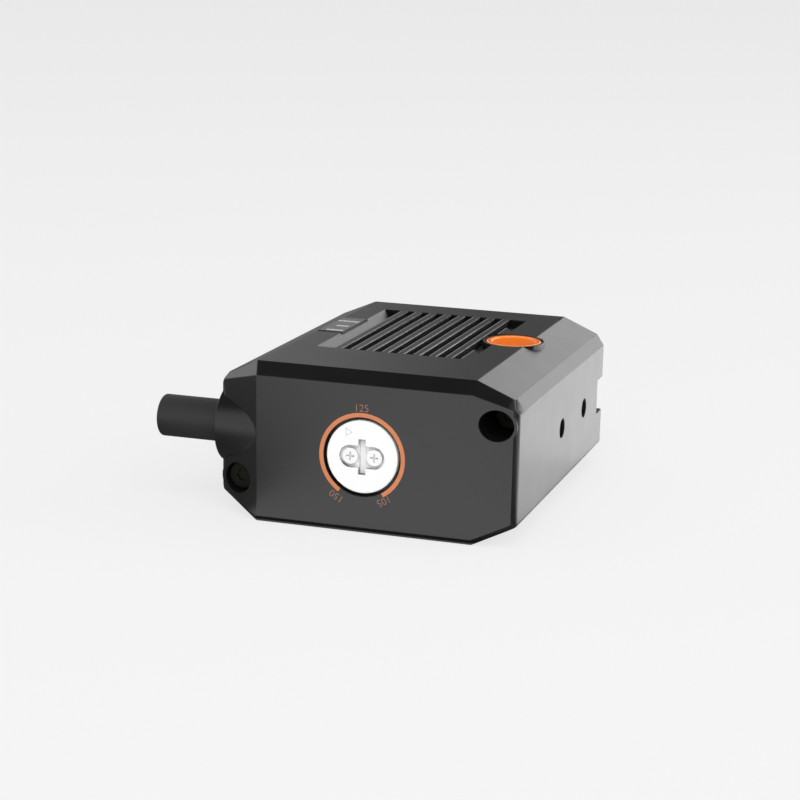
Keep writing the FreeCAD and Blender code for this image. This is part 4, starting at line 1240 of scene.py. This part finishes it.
    def _is_recess(self, face: bmesh.types.BMFace) -> bool:
        """Whether a face gets the darker painted shade because it lies in a recess.

        Args:
            face: A face of the softened mesh.

        Returns:
            True on the walls of the fin pocket and in a well, a counterbore, a side hole or the
            indicator's bed.
        """
        spots = [vert.co / MM for vert in face.verts]
        if self._in_well(spots) or self._in_side_hole(spots):
            return True
        middle = face.calc_center_median() / MM
        if self.pocket_depth.holds(middle):
            wall = self.pocket.holds(*spots) and face.normal.z < self.ramp_lean
            return wall or self.panel_bed.holds(*spots)
        bore = min(max(math.dist(spot.xz, screw) for spot in spots) for screw in self.screws)
        return bore < self.counterbore * self.bore_stretch + self.hole_fit and middle.y > self.bore_rim


@dataclass(frozen=True)
class ScaleNumber:
    """A printed distance, its turn clockwise from the top in degrees and its foot's radius."""

    word: str
    turn: float
    foot: float


@dataclass
class FocusDial:
    """White disc, its screws, and the printed scale round it."""

    height: float = 10.4
    face: float = -24.0
    arc_inner: float = 5.36
    arc_outer: float = 5.93
    arc_gap_left: float = 33.0
    arc_gap_right: float = 30.5
    number_height: float = 1.0
    pointer_radius: float = 3.9
    pointer_turn: float = 31.0
    pointer_tip: float = 0.5
    pointer_foot: float = 0.4
    pointer_spread: float = 8.0
    pointer_line: float = 0.022
    arc_steps: int = 120
    letter_share: float = 1.4
    letter_thin: float = -0.015
    rim_inside: float = 4.6
    wall_lean: float = 0.5
    disc_edge: float = 0.04
    screw_edge: float = 0.05
    ink: float = 0.006
    numbers: tuple[ScaleNumber, ...] = (
        ScaleNumber("125", -1.2, 6.1), ScaleNumber("150", 211.5, 6.2), ScaleNumber("105", 151.0, 6.0))

    def build(self) -> None:
        """Make the disc and its screws, then print the scale."""
        # The recess walls of the disc and its screws are painted darker as painted shade.
        disc = EdgeSoftener(self.disc_edge, sunk=Sunk.REAR, marked=self._is_wall).copy("focus_dial")
        place_piece("dial_disc", disc, Finishes.DIAL, Body.DIAL, ["focus_dial"])
        screws = EdgeSoftener(self.screw_edge, marked=self._is_wall).copy("dial_screws")
        place_piece("dial_screw_heads", screws, Finishes.DIAL_SCREW, Body.DIAL,
                    ["dial_screws"])
        self._arc()
        self._numbers()
        self._pointer()

    def _is_wall(self, face: bmesh.types.BMFace) -> bool:
        """Whether a face is an upright wall inside the disc's rim."""
        middle = face.calc_center_median() / MM
        reach = math.hypot(middle.x, middle.z - self.height)
        return abs(face.normal.y) < self.wall_lean and reach < self.rim_inside

    def _spot(self, radius: float, turn: float) -> Pair:
        """X and Z of a place on the face, its turn counted clockwise from the top in degrees."""
        angle = math.radians(turn)
        return radius * math.sin(angle), self.height + radius * math.cos(angle)

    def _arc(self) -> None:
        """Print the open ring round the disc."""
        start = -180.0 + self.arc_gap_left
        end = 180.0 - self.arc_gap_right
        turns = [start + (end - start) * step / self.arc_steps for step in range(self.arc_steps + 1)]
        outline = [self._spot(self.arc_outer, turn) for turn in turns]
        outline += [self._spot(self.arc_inner, turn) for turn in reversed(turns)]
        bm = flat_solid(outline, self.face, self.face + 2 * self.ink)
        mesh = mesh_from(bm, "scale_arc")
        place_piece("scale_arc", mesh, Finishes.INK, Body.HOUSING)

    def _numbers(self) -> None:
        """Print the three distances, each upright on its own radius."""
        words = []
        for number in self.numbers:
            mesh = self._word(number.word)
            x, z = self._spot(number.foot, number.turn)
            place = Matrix.Translation((x * MM, (self.face + self.ink) * MM, z * MM))
            spin = Matrix.Rotation(math.radians(number.turn), 4, "Y")
            upright = Matrix.Rotation(math.radians(90), 4, "X")
            mesh.transform(place @ spin @ upright)
            words.append(mesh)
        place_piece("scale_numbers", joined(words, "scale_numbers"), Finishes.NUMBER_INK, Body.HOUSING)

    def _word(self, word: str) -> bpy.types.Mesh:
        """Flat solid letters of a number.

        Args:
            word: The number.

        Returns:
            Its mesh, standing on the origin and facing +Z.
        """
        text = bpy.data.curves.new(word, "FONT")
        text.body = word
        text.align_x = "CENTER"
        text.size = self.number_height * self.letter_share * MM
        text.offset = self.letter_thin * MM
        text.extrude = self.ink * MM
        return evaluated(stand(word, text))

    def _pointer(self) -> None:
        """Lay the small open triangle on the disc as thin grey strokes."""
        tip = self.pointer_radius + self.pointer_tip
        foot = self.pointer_radius - self.pointer_foot
        corners = [(tip, 0.0), (foot, self.pointer_spread), (foot, -self.pointer_spread)]
        spots = [Vector(self._spot(radius, turn - self.pointer_turn)) for radius, turn in corners]
        strokes = []
        for index, corner in enumerate(spots):
            after = spots[(index + 1) % 3]
            side = (after - corner).normalized().orthogonal() * self.pointer_line
            line = [tuple(spot) for spot in (corner + side, after + side, after - side, corner - side)]
            strokes.append(mesh_from(flat_solid(line, self.face, self.face + 2 * self.ink), "stroke"))
        place_piece("dial_pointer", joined(strokes, "dial_pointer"), Finishes.POINTER_GREY, Body.DIAL)


@dataclass
class TriggerButton:
    """Orange push button with a rounded rim and a sunk, slightly dished middle."""

    x: float = 12.55
    y: float = 3.7
    radius: float = 3.88
    top: float = 21.7
    skirt: float = 20.5
    stem_radius: float = 1.5
    stem_end: float = 17.6
    rim: float = 0.25
    ring: float = 3.2
    step: float = 0.17
    step_round: float = 0.14
    dish: float = 0.22
    rim_steps: int = 6
    dish_steps: int = 8

    def build(self) -> None:
        """Turn the button."""
        profile = [(0.0, self.stem_end), (self.stem_radius, self.stem_end), (self.stem_radius, self.skirt)]
        profile += [(self.radius, self.skirt), (self.radius, self.top - self.rim)]
        for step in range(1, self.rim_steps + 1):
            turn = math.radians(90.0 * step / self.rim_steps)
            reach = self.radius - self.rim * (1.0 - math.cos(turn))
            profile.append((reach, self.top - self.rim * (1.0 - math.sin(turn))))
        for step in range(7):
            turn = math.radians(15.0 * step)
            drop = self.step * (1.0 - math.cos(2.0 * turn)) / 2.0
            profile.append((self.ring - self.step_round * step / 3.0, self.top - drop))
        floor = self.ring - 2.0 * self.step_round
        for step in range(self.dish_steps - 1, -1, -1):
            share = step / self.dish_steps
            profile.append((floor * share, self.top - self.step - self.dish * (1.0 - share ** 2)))
        mesh = lathe(profile, Axis.Z, (self.x, self.y, 0.0), "button")
        # The rim's rounding and the step ring are marked for a paler orange, a painted reflection.
        pale = mesh.attributes.new("painted_light_mask", "FLOAT", "FACE")
        for face, mark in zip(mesh.polygons, pale.data):
            reach = math.dist((face.center.x / MM, face.center.y / MM), (self.x, self.y))
            painted_sheen = floor < reach < self.ring or reach > self.radius - self.rim
            mark.value = float(painted_sheen and face.center.z > self.skirt * MM)
        place_piece("button_cap", mesh, Finishes.ORANGE, Body.TRIGGER, ["trigger_button"])


@dataclass
class StatusIndicator:
    """Smoked cover beside the fins, with a painted shade line along its right and rear edges and three rows
    of bars.
    """

    left: float = -15.0
    right: float = -11.2
    rear: float = -1.04
    front: float = 9.6
    top: float = 21.73
    ink: float = 0.006
    side_border: float = 0.2
    rear_border: float = 0.7
    cover_edge: float = 0.04
    tall: float = 0.72
    bars: tuple[float, ...] = (0.3, 0.2, 0.36, 0.24, 0.28, 0.18, 0.32)
    gap: float = 0.09
    rows: tuple[Point, ...] = ((7.1, -14.8, -11.7), (3.6, -13.8, -11.8), (0.5, -14.2, -11.7))

    def build(self) -> None:
        """Soften the cover, print its bars and paint the shade line at its edges."""
        cover = EdgeSoftener(self.cover_edge, sunk=Sunk.TOP,
                             reshape=self._cover_corner).copy("indicator_cover")
        place_piece("indicator_panel", cover, Finishes.COVER, Body.HOUSING,
                    ["indicator_cover"])
        bars = []
        for y, start, end in self.rows:
            x = start
            for bar in self.bars * 2:
                if x + bar > end:
                    break
                bars.append((x, x + bar, y - self.tall / 2, y + self.tall / 2))
                x += bar + self.gap
        self._lay_patches("indicator_bars", bars, Finishes.MARK_INK)
        # The dark line along the cover's right and rear edges is painted shade of the gap round it.
        inner = self.right - self.side_border
        border = [(inner, self.right, self.rear, self.front),
                  (self.left, inner, self.rear, self.rear + self.rear_border)]
        self._lay_patches("indicator_gap_shade", border, Finishes.GAP_SHADE)

    def _cover_corner(self, spot: Vector) -> Vector:
        """Where a corner of the cover goes: its rim laps over the deck."""
        x = self.left if spot.x < (self.left + self.right) / 2 else self.right
        return Vector((x, self.rear if spot.y < (self.rear + self.front) / 2 else self.front, spot.z))

    def _lay_patches(self, name: str, patches: Sequence[tuple[float, float, float, float]],
               finish: Finish) -> None:
        """Print rectangles on the cover.

        Args:
            name: The print's name.
            patches: Lowest and highest X, then lowest and highest Y, of each rectangle in millimetres.
            finish: Their finish, an ink or the painted gap shade.
        """
        bm = bmesh.new()
        for x0, x1, y0, y1 in patches:
            low = Vector((x0, y0, self.top - 2 * self.ink))
            high = Vector((x1, y1, self.top))
            size = Matrix.Diagonal((*((high - low) * MM), 1.0))
            bmesh.ops.create_cube(bm, size=1.0, matrix=Matrix.Translation((low + high) / 2 * MM) @ size)
        place_piece(name, mesh_from(bm, name), finish, Body.HOUSING)


@dataclass
class CableOutlet:
    """Cable with a rounded cut edge, and the copper strands in its cut cores."""

    y: float = -18.7
    height: float = 12.0
    outer: float = 2.88
    inner: float = 2.28
    end: float = -30.6
    inside: float = -12.8
    cut_round: float = 0.25
    cut_steps: int = 6
    merge: float = 0.0005
    core_turn: float = 45.0
    core_ring: float = 1.15
    core_count: int = 4
    strand_radius: float = 0.11
    strand_ring: float = 0.24
    strands: int = 7
    strand_sides: int = 10
    strand_length: float = 0.06
    strand_sink: float = 0.032

    def build(self) -> None:
        """Turn the jacket and set the strands."""
        profile = [(self.inner, self.end)]
        for step in range(self.cut_steps + 1):
            turn = math.radians(90.0 * step / self.cut_steps)
            reach = self.outer - self.cut_round * (1.0 - math.sin(turn))
            profile.append((reach, self.end + self.cut_round * (1.0 - math.cos(turn))))
        profile += [(self.outer, self.inside), (self.inner, self.inside), (self.inner, self.end)]
        mesh = lathe(profile, Axis.X, (0.0, self.y, self.height), "jacket")
        bm = bmesh.new()
        bm.from_mesh(mesh)
        bmesh.ops.remove_doubles(bm, verts=bm.verts, dist=self.merge * MM)
        bmesh.ops.recalc_face_normals(bm, faces=bm.faces)
        place_piece("cable_sheath", mesh_from(bm, "cable_sheath"), Finishes.CABLE, Body.HOUSING,
                    ["cable_jacket"])
        self._strands()

    def _strands(self) -> None:
        """Set a ring of copper strands in the end of each core."""
        tree = GeometryTree("core_strands")
        desk = tree.desk
        strand = desk.add("GeometryNodeMeshCylinder")
        strand.inputs["Vertices"].default_value = self.strand_sides
        tree.feed(strand.inputs["Radius"], "Strand radius", self.strand_radius * MM)
        tree.feed(strand.inputs["Depth"], "Strand length", self.strand_length * MM)
        ring = desk.add("GeometryNodeMeshCircle")
        tree.feed(ring.inputs["Vertices"], "Strands", self.strands - 1, True)
        tree.feed(ring.inputs["Radius"], "Strand ring", self.strand_ring * MM)
        centre = desk.add("GeometryNodePoints")
        centre.inputs["Count"].default_value = 1
        spots = desk.add("GeometryNodeJoinGeometry")
        points = desk.add("GeometryNodeMeshToPoints")
        desk.link(ring.outputs["Mesh"], points.inputs["Mesh"])
        desk.link(points.outputs["Points"], spots.inputs["Geometry"])
        desk.link(centre.outputs["Points"], spots.inputs["Geometry"])
        bundle = tree.spread(spots.outputs["Geometry"], strand.outputs["Mesh"])
        cores = desk.add("GeometryNodeMeshCircle")
        tree.feed(cores.inputs["Vertices"], "Cores", self.core_count, True)
        tree.feed(cores.inputs["Radius"], "Core ring", self.core_ring * MM)
        bundles = tree.spread(cores.outputs["Mesh"], bundle.outputs["Instances"])
        tree.close(bundles.outputs["Instances"], Finishes.COPPER)
        mesh = tree.bake("core_strands")
        turn = Matrix.Rotation(math.radians(self.core_turn), 4, "X")
        along = Matrix.Rotation(math.radians(90), 4, "Y")
        place = Vector((self.end + self.strand_sink, self.y, self.height))
        mesh.transform(Matrix.Translation(place * MM) @ (turn @ along))
        place_piece("core_strands", mesh, Finishes.COPPER, Body.HOUSING)


@dataclass
class SideThreads:
    """Cut threads in the four side holes."""

    side: float = 21.0
    middle: float = 5.8
    spacing: float = 12.8
    height: float = 10.85
    radius: float = 1.25
    pitch: float = 0.5
    depth: float = 4.2
    crest: float = 0.14
    inset: float = 0.25
    turn_steps: int = 32

    def build(self) -> None:
        """Wind one thread and set it in every hole."""
        tree = GeometryTree("side_threads")
        desk = tree.desk
        helix = desk.add("GeometryNodeCurveSpiral")
        helix.inputs["Resolution"].default_value = self.turn_steps
        radius = tree.take("Hole radius", self.radius * MM)
        for name in ("Start Radius", "End Radius"):
            desk.link(radius, helix.inputs[name])
        tree.feed(helix.inputs["Rotations"], "Turns", self.depth / self.pitch)
        tree.feed(helix.inputs["Height"], "Depth", self.depth * MM)
        crest = desk.add("GeometryNodeCurvePrimitiveCircle")
        crest.inputs["Resolution"].default_value = 4
        tree.feed(crest.inputs["Radius"], "Crest", self.crest * MM)
        thread = desk.add("GeometryNodeCurveToMesh")
        thread.inputs["Fill Caps"].default_value = True
        desk.link(helix.outputs["Curve"], thread.inputs["Curve"])
        desk.link(crest.outputs["Curve"], thread.inputs["Profile Curve"])
        holes = desk.add("GeometryNodeJoinGeometry")
        for side in (1, -1):
            row = desk.add("GeometryNodeMeshLine")
            row.inputs["Count"].default_value = 2
            start = Vector((side * (self.side - self.inset), self.middle - self.spacing / 2, self.height))
            row.inputs["Start Location"].default_value = start * MM
            row.inputs["Offset"].default_value = (0.0, self.spacing * MM, 0.0)
            wind = tree.spread(row.outputs["Mesh"], thread.outputs["Mesh"])
            wind.inputs["Rotation"].default_value = (0.0, -side * math.radians(90), 0.0)
            desk.link(wind.outputs["Instances"], holes.inputs["Geometry"])
        tree.close(holes.outputs["Geometry"], Finishes.COAT)
        mesh = tree.bake("side_threads")
        mesh.shade_smooth()
        place_piece("side_threads", mesh, Finishes.COAT, Body.HOUSING)


@dataclass
class FrontOptics:
    """Window, lenses and illumination that show through the front."""

    window_edge: float = 0.1
    lens_edge: float = 0.08
    led_front: float = 18.5
    led_x: tuple[float, ...] = (5.15, 8.75, 12.35)
    led_z: tuple[float, ...] = (5.3, 10.9)
    pad_width: float = 2.1
    pad_height: float = 2.7
    pad_corner: float = 0.5
    pad_thickness: float = 0.05

    def build(self) -> None:
        """Soften the window and the lenses, and set the phosphor in the LEDs."""
        window = EdgeSoftener(self.window_edge).copy("front_window")
        place_piece("window_pane", window, Finishes.WINDOW, Body.HOUSING, ["front_window"])
        for node in ("rear_lens", "front_lens"):
            glass = EdgeSoftener(self.lens_edge).copy(node)
            place_piece(node + "_glass", glass, Finishes.LENS_GLASS, Body.LENS, [node])
        self._phosphor()

    def _phosphor(self) -> None:
        """Set a rounded phosphor pad in every LED."""
        tree = GeometryTree("led_phosphor")
        desk = tree.desk
        outline = desk.add("GeometryNodeCurvePrimitiveQuadrilateral")
        tree.feed(outline.inputs["Width"], "Width", self.pad_width * MM)
        tree.feed(outline.inputs["Height"], "Height", self.pad_height * MM)
        soft = desk.add("GeometryNodeFilletCurve", mode="POLY")
        soft.inputs["Count"].default_value = 4
        tree.feed(soft.inputs["Radius"], "Corner", self.pad_corner * MM)
        fill = desk.add("GeometryNodeFillCurve")
        thick = desk.add("GeometryNodeExtrudeMesh")
        tree.feed(thick.inputs["Offset Scale"], "Thickness", self.pad_thickness * MM)
        thick.inputs["Individual"].default_value = False
        desk.link(outline.outputs["Curve"], soft.inputs["Curve"])
        desk.link(soft.outputs["Curve"], fill.inputs["Curve"])
        desk.link(fill.outputs["Mesh"], thick.inputs["Mesh"])
        grid = desk.add("GeometryNodeMeshGrid")
        tree.feed(grid.inputs["Size X"], "Across", (self.led_x[-1] - self.led_x[0]) * MM)
        tree.feed(grid.inputs["Size Y"], "Up", (self.led_z[-1] - self.led_z[0]) * MM)
        tree.feed(grid.inputs["Vertices X"], "Columns", len(self.led_x), True)
        tree.feed(grid.inputs["Vertices Y"], "Rows", len(self.led_z), True)
        pads = tree.spread(grid.outputs["Mesh"], thick.outputs["Mesh"])
        tree.close(pads.outputs["Instances"], Finishes.PHOSPHOR)
        mesh = tree.bake("led_phosphor")
        middle = Vector((sum(self.led_x[::2]) / 2, self.led_front, sum(self.led_z) / 2))
        upright = Matrix.Rotation(math.radians(-90), 4, "X")
        mesh.transform(Matrix.Translation(middle * MM) @ upright)
        place_piece("led_phosphor", mesh, Finishes.PHOSPHOR, Body.HOUSING)


@dataclass
class InnerWorks:
    """The CAD pieces that keep their own shape and get a finish."""

    screw_edge: float = 0.12
    left_reach: float = 5.0
    right_reach: float = 1.5
    socket_floor: float = -15.8
    socket_depth: Pair = (-16.0, -15.0)
    dress: dict[str, Finish] = field(default_factory=lambda: {
        "bezel_gasket": Finishes.RUBBER, "window_gasket": Finishes.RUBBER, "spindle_seal": Finishes.RUBBER,
        "trigger_seal": Finishes.RUBBER, "cable_grommet": Finishes.RUBBER, "bezel_inserts": Finishes.BRASS,
        "spindle_bush": Finishes.BRASS, "spindle_clip": Finishes.PLATED, "sensor_screws": Finishes.PLATED,
        "board_screws": Finishes.PLATED, "light_screws": Finishes.PLATED, "focus_spindle": Finishes.SPINDLE,
        "lens_carriage": Finishes.LENS_BLACK, "lens_spacer": Finishes.LENS_BLACK,
        "lens_retainer": Finishes.LENS_BLACK, "lens_block": Finishes.LENS_BLACK,
        "sensor_board": Finishes.BOARD, "main_board": Finishes.BOARD, "light_board": Finishes.BOARD,
        "image_sensor": Finishes.CHIP,
        "processor": Finishes.CHIP, "memory_chip": Finishes.CHIP, "tact_switch": Finishes.CHIP,
        "light_connector": Finishes.CHIP, "sensor_flex": Finishes.FLEX, "thermal_pad": Finishes.PAD,
        "light_leds": Finishes.LED, "indicator_leds": Finishes.LED, "light_lens": Finishes.CLEAR,
        "light_guide": Finishes.CLEAR, "aimer_module": Finishes.AIMER, "switch_plunger": Finishes.PLUNGER,
        "cable_shield": Finishes.SHIELD, "cable_cores": Finishes.CORE, "cable_ferrule": Finishes.PLATED,
        "cable_plug": Finishes.PLUG, "cable_header": Finishes.PLUG,
    })

    def build(self) -> None:
        """Finish each kept node, and soften the two long screws."""
        for node, finish in self.dress.items():
            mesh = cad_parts[node].data
            mesh.materials.clear()
            mesh.materials.append(finish.material())
            log.info("%s: kept from the CAD model, %s", node, finish.name)
        screws = EdgeSoftener(self.screw_edge, reshape=self._screw_head).copy("housing_screws")
        place_piece("housing_cap_screws", screws, Finishes.SCREW, Body.HOUSING,
                    ["housing_screws"])

    def _screw_head(self, spot: Vector) -> Vector:
        """Where a corner of a long screw goes.

        Args:
            spot: The corner, in millimetres.

        Returns:
            Its new place: the heads reach nearer to their mouths, and their sockets are shallow.
        """
        reach = self.left_reach if spot.x < 0.0 else self.right_reach
        rear, front = self.socket_depth
        if rear < spot.y < front:
            return Vector((spot.x, self.socket_floor - reach, spot.z))
        return spot - Vector((0.0, reach, 0.0)) if spot.y < front else spot


@dataclass(frozen=True)
class Card:
    """A studio card that only reflections see: bright for a sheen, dark to hold it back."""

    UNSEEN: ClassVar[tuple[str, ...]] = ("camera", "diffuse", "transmission", "volume_scatter", "shadow")
    name: str
    low: Point
    high: Point
    tone: float

    def build(self) -> None:
        """Stand the card, a flat rectangle between two corners, in the studio."""
        low, high = Vector(self.low), Vector(self.high)
        across = [axis for axis in range(3) if abs(high[axis] - low[axis]) > 1e-9]
        corners = []
        for first, second in ((0, 0), (1, 0), (1, 1), (0, 1)):
            spot = low.copy()
            spot[across[0]] = (low, high)[first][across[0]]
            spot[across[1]] = (low, high)[second][across[1]]
            corners.append(spot)
        mesh = bpy.data.meshes.new(self.name)
        mesh.from_pydata(corners, [], [(0, 1, 2, 3)])
        card = stand(self.name, mesh)
        tone = bpy.data.materials.new(self.name)
        tone.use_nodes = True
        desk = NodeDesk(tone.node_tree)
        glow = desk.add("ShaderNodeEmission")
        glow.inputs["Strength"].default_value = self.tone
        desk.link(glow.outputs["Emission"], desk.add("ShaderNodeOutputMaterial").inputs["Surface"])
        mesh.materials.append(tone)
        for ray in self.UNSEEN:
            setattr(card, "visible_" + ray, False)


@dataclass(frozen=True)
class Softbox:
    """A soft lamp that faces the reader."""

    AIM: ClassVar[Point] = (0.0, 0.0, 0.01)
    name: str
    place: Point
    size: float
    watts: float

    def build(self) -> None:
        """Hang the lamp and turn it to the reader."""
        lamp = bpy.data.lights.new(self.name, "AREA")
        lamp.shape = "SQUARE"
        lamp.size = self.size
        lamp.energy = self.watts
        hung = stand(self.name, lamp)
        hung.location = self.place
        aim = Vector(self.AIM) - Vector(self.place)
        hung.rotation_euler = aim.to_track_quat("-Z", "Y").to_euler()
        hung.visible_camera = False
        hung.visible_glossy = False


@dataclass
class Studio:
    """Pale floor, soft lamps, reflection cards and the camera."""

    backdrop: float = 0.895
    floor_light: float = 0.15
    ambient: float = 0.45
    floor_tone: float = 0.8
    floor_reach: float = 8.0
    floor_drop: float = 0.00005
    eye: Point = (0.08408, -0.26286, 0.07887)
    look: Point = (-0.3053, 0.9233, -0.2331)
    roll: float = 0.0189
    lens: float = 90.416
    sensor: float = 36.0
    clip: Pair = (0.01, 40.0)
    lamps: tuple[Softbox, ...] = (
        Softbox("key_lamp", (0.2, -0.55, 0.6), 0.7, 5.3),
        Softbox("side_lamp", (0.8, 0.25, 0.45), 0.6, 3.0),
    )
    cards: tuple[Card, ...] = (
        Card("bright_back_card", (0.16, 0.6, 0.03), (1.0, 0.6, 0.6), 2.75),
        Card("pale_back_card", (-0.05, 0.6, 0.03), (0.07, 0.6, 0.6), 2.05),
        Card("soft_back_card", (0.07, 0.6, 0.03), (0.16, 0.6, 0.6), 1.05),
        Card("dark_back_card", (-0.17, 0.59, -0.02), (-0.05, 0.59, 0.6), 0.13),
        Card("dim_back_card", (-0.215, 0.59, -0.02), (-0.17, 0.59, 0.6), 0.27),
        Card("grey_back_card", (-1.2, 0.59, -0.02), (-0.215, 0.59, 0.6), 0.52),
        Card("bright_floor_card", (0.0225, 0.02, 0.0004), (0.6, 0.6, 0.0004), 2.4),
        Card("pale_floor_card", (0.0225, -0.014, 0.0004), (0.6, 0.02, 0.0004), 1.9),
        Card("dark_right_card", (0.0235, -0.3, 0.0004), (0.8, -0.014, 0.0004), 0.05),
        Card("bright_rear_card", (-0.15, -0.4, 0.0004), (0.0235, -0.0245, 0.0004), 1.36),
        Card("dark_left_card", (-0.9, -0.092, 0.0005), (-0.036, 0.57, 0.0005), 0.09),
        Card("dark_boss_card", (-0.037, -0.06, 0.0005), (-0.0185, 0.0, 0.0005), 0.12),
        Card("bright_left_card", (-0.6, -0.1, 0.18), (-0.6, 0.4, 0.6), 2.2),
        Card("right_card", (0.7, -0.05, 0.2), (0.7, 0.58, 0.74), 1.2),
        Card("contact_card", (-0.05, -0.0245, 0.0003), (0.0225, 0.027, 0.0003), 0.04),
        Card("dark_ceiling_card", (-1.2, -0.8, 0.75), (1.2, 0.58, 0.75), 0.02),
    )

    def build(self) -> None:
        """Set up the whole studio."""
        self._floor()
        self._world()
        for lamp in self.lamps:
            lamp.build()
        for card in self.cards:
            card.build()
        self._camera()
        bpy.context.scene.view_settings.view_transform = "Standard"
        log.info("studio: %d lamps, %d cards", len(self.lamps), len(self.cards))

    def _seen(self, desk: NodeDesk) -> bpy.types.NodeSocket:
        """Tell the rays that show the backdrop.

        Args:
            desk: The material's or the world's nodes.

        Returns:
            1 for the camera's own, mirrored and refracted rays, and 0 for the others.
        """
        path = desk.add("ShaderNodeLightPath").outputs
        mirrored = desk.math("MAXIMUM", path["Is Glossy Ray"], path["Is Transmission Ray"])
        return desk.math("MAXIMUM", path["Is Camera Ray"], mirrored)

    def _floor(self) -> None:
        """Lay a large pale floor that glows to the eye and still takes the shadow."""
        mesh = bpy.data.meshes.new("floor")
        reach = self.floor_reach
        corners = [(-reach, -reach, 0), (reach, -reach, 0), (reach, reach, 0), (-reach, reach, 0)]
        mesh.from_pydata(corners, [], [(0, 1, 2, 3)])
        floor = stand("floor", mesh)
        floor.location.z = -self.floor_drop
        paint = bpy.data.materials.new("pale_floor")
        paint.use_nodes = True
        desk = NodeDesk(paint.node_tree)
        pale = desk.add("ShaderNodeBsdfDiffuse")
        pale.inputs["Color"].default_value = (self.floor_tone,) * 3 + (1.0,)
        glow = desk.add("ShaderNodeEmission")
        glow.inputs["Color"].default_value = (1.0, 1.0, 1.0, 1.0)
        glow.inputs["Strength"].default_value = self.backdrop - self.floor_light
        shade = desk.add("ShaderNodeBsdfDiffuse")
        shade.inputs["Color"].default_value = (self.floor_light,) * 3 + (1.0,)
        seen = desk.add("ShaderNodeAddShader")
        desk.link(glow.outputs[0], seen.inputs[0])
        desk.link(shade.outputs[0], seen.inputs[1])
        pick = desk.add("ShaderNodeMixShader")
        desk.link(self._seen(desk), pick.inputs[0])
        desk.link(pale.outputs[0], pick.inputs[1])
        desk.link(seen.outputs[0], pick.inputs[2])
        desk.link(pick.outputs[0], desk.add("ShaderNodeOutputMaterial").inputs["Surface"])
        mesh.materials.append(paint)

    def _world(self) -> None:
        """Light the studio evenly, and show the far floor's tone behind it."""
        world = bpy.data.worlds.new("studio")
        bpy.context.scene.world = world
        world.use_nodes = True
        desk = NodeDesk(world.node_tree)
        even = desk.add("ShaderNodeBackground")
        even.inputs["Strength"].default_value = self.ambient
        even.inputs["Color"].default_value = (1.0, 1.0, 1.0, 1.0)
        pale = desk.add("ShaderNodeBackground")
        pale.inputs["Color"].default_value = (1.0, 1.0, 1.0, 1.0)
        direct = desk.add("ShaderNodeLightPath").outputs["Is Camera Ray"]
        unlit = self.floor_light * (1.0 - self.ambient)
        strength = desk.math("SUBTRACT", self.backdrop, desk.math("MULTIPLY", direct, unlit))
        desk.link(strength, pale.inputs["Strength"])
        pick = desk.add("ShaderNodeMixShader")
        desk.link(self._seen(desk), pick.inputs[0])
        desk.link(even.outputs[0], pick.inputs[1])
        desk.link(pale.outputs[0], pick.inputs[2])
        desk.link(pick.outputs[0], desk.add("ShaderNodeOutputWorld").inputs["Surface"])

    def _camera(self) -> None:
        """Stand the camera where the photograph was taken from."""
        data = bpy.data.cameras.new("camera")
        data.lens = self.lens
        data.sensor_width = self.sensor
        data.clip_start, data.clip_end = self.clip
        camera = stand("camera", data)
        forward = Vector(self.look).normalized()
        level = forward.cross(Vector((0, 0, 1))).normalized()
        upright = level.cross(forward)
        tilt = math.asin(self.roll / upright.z)
        right = level * math.cos(tilt) + upright * math.sin(tilt)
        up = right.cross(forward)
        turn = Matrix((right, up, -forward)).transposed().to_4x4()
        camera.matrix_world = Matrix.Translation(self.eye) @ turn
        bpy.context.scene.camera = camera


def main() -> None:
    """Build every sub-assembly and the studio in order."""
    logging.basicConfig(level=logging.INFO, format="%(message)s")
    for part in (HousingShell(), FocusDial(), TriggerButton(), StatusIndicator(), CableOutlet(),
                 SideThreads(), FrontOptics(), InnerWorks(), Studio()):
        part.build()
        log.info("%s built", type(part).__name__)


if __name__ == "__main__":
    main()
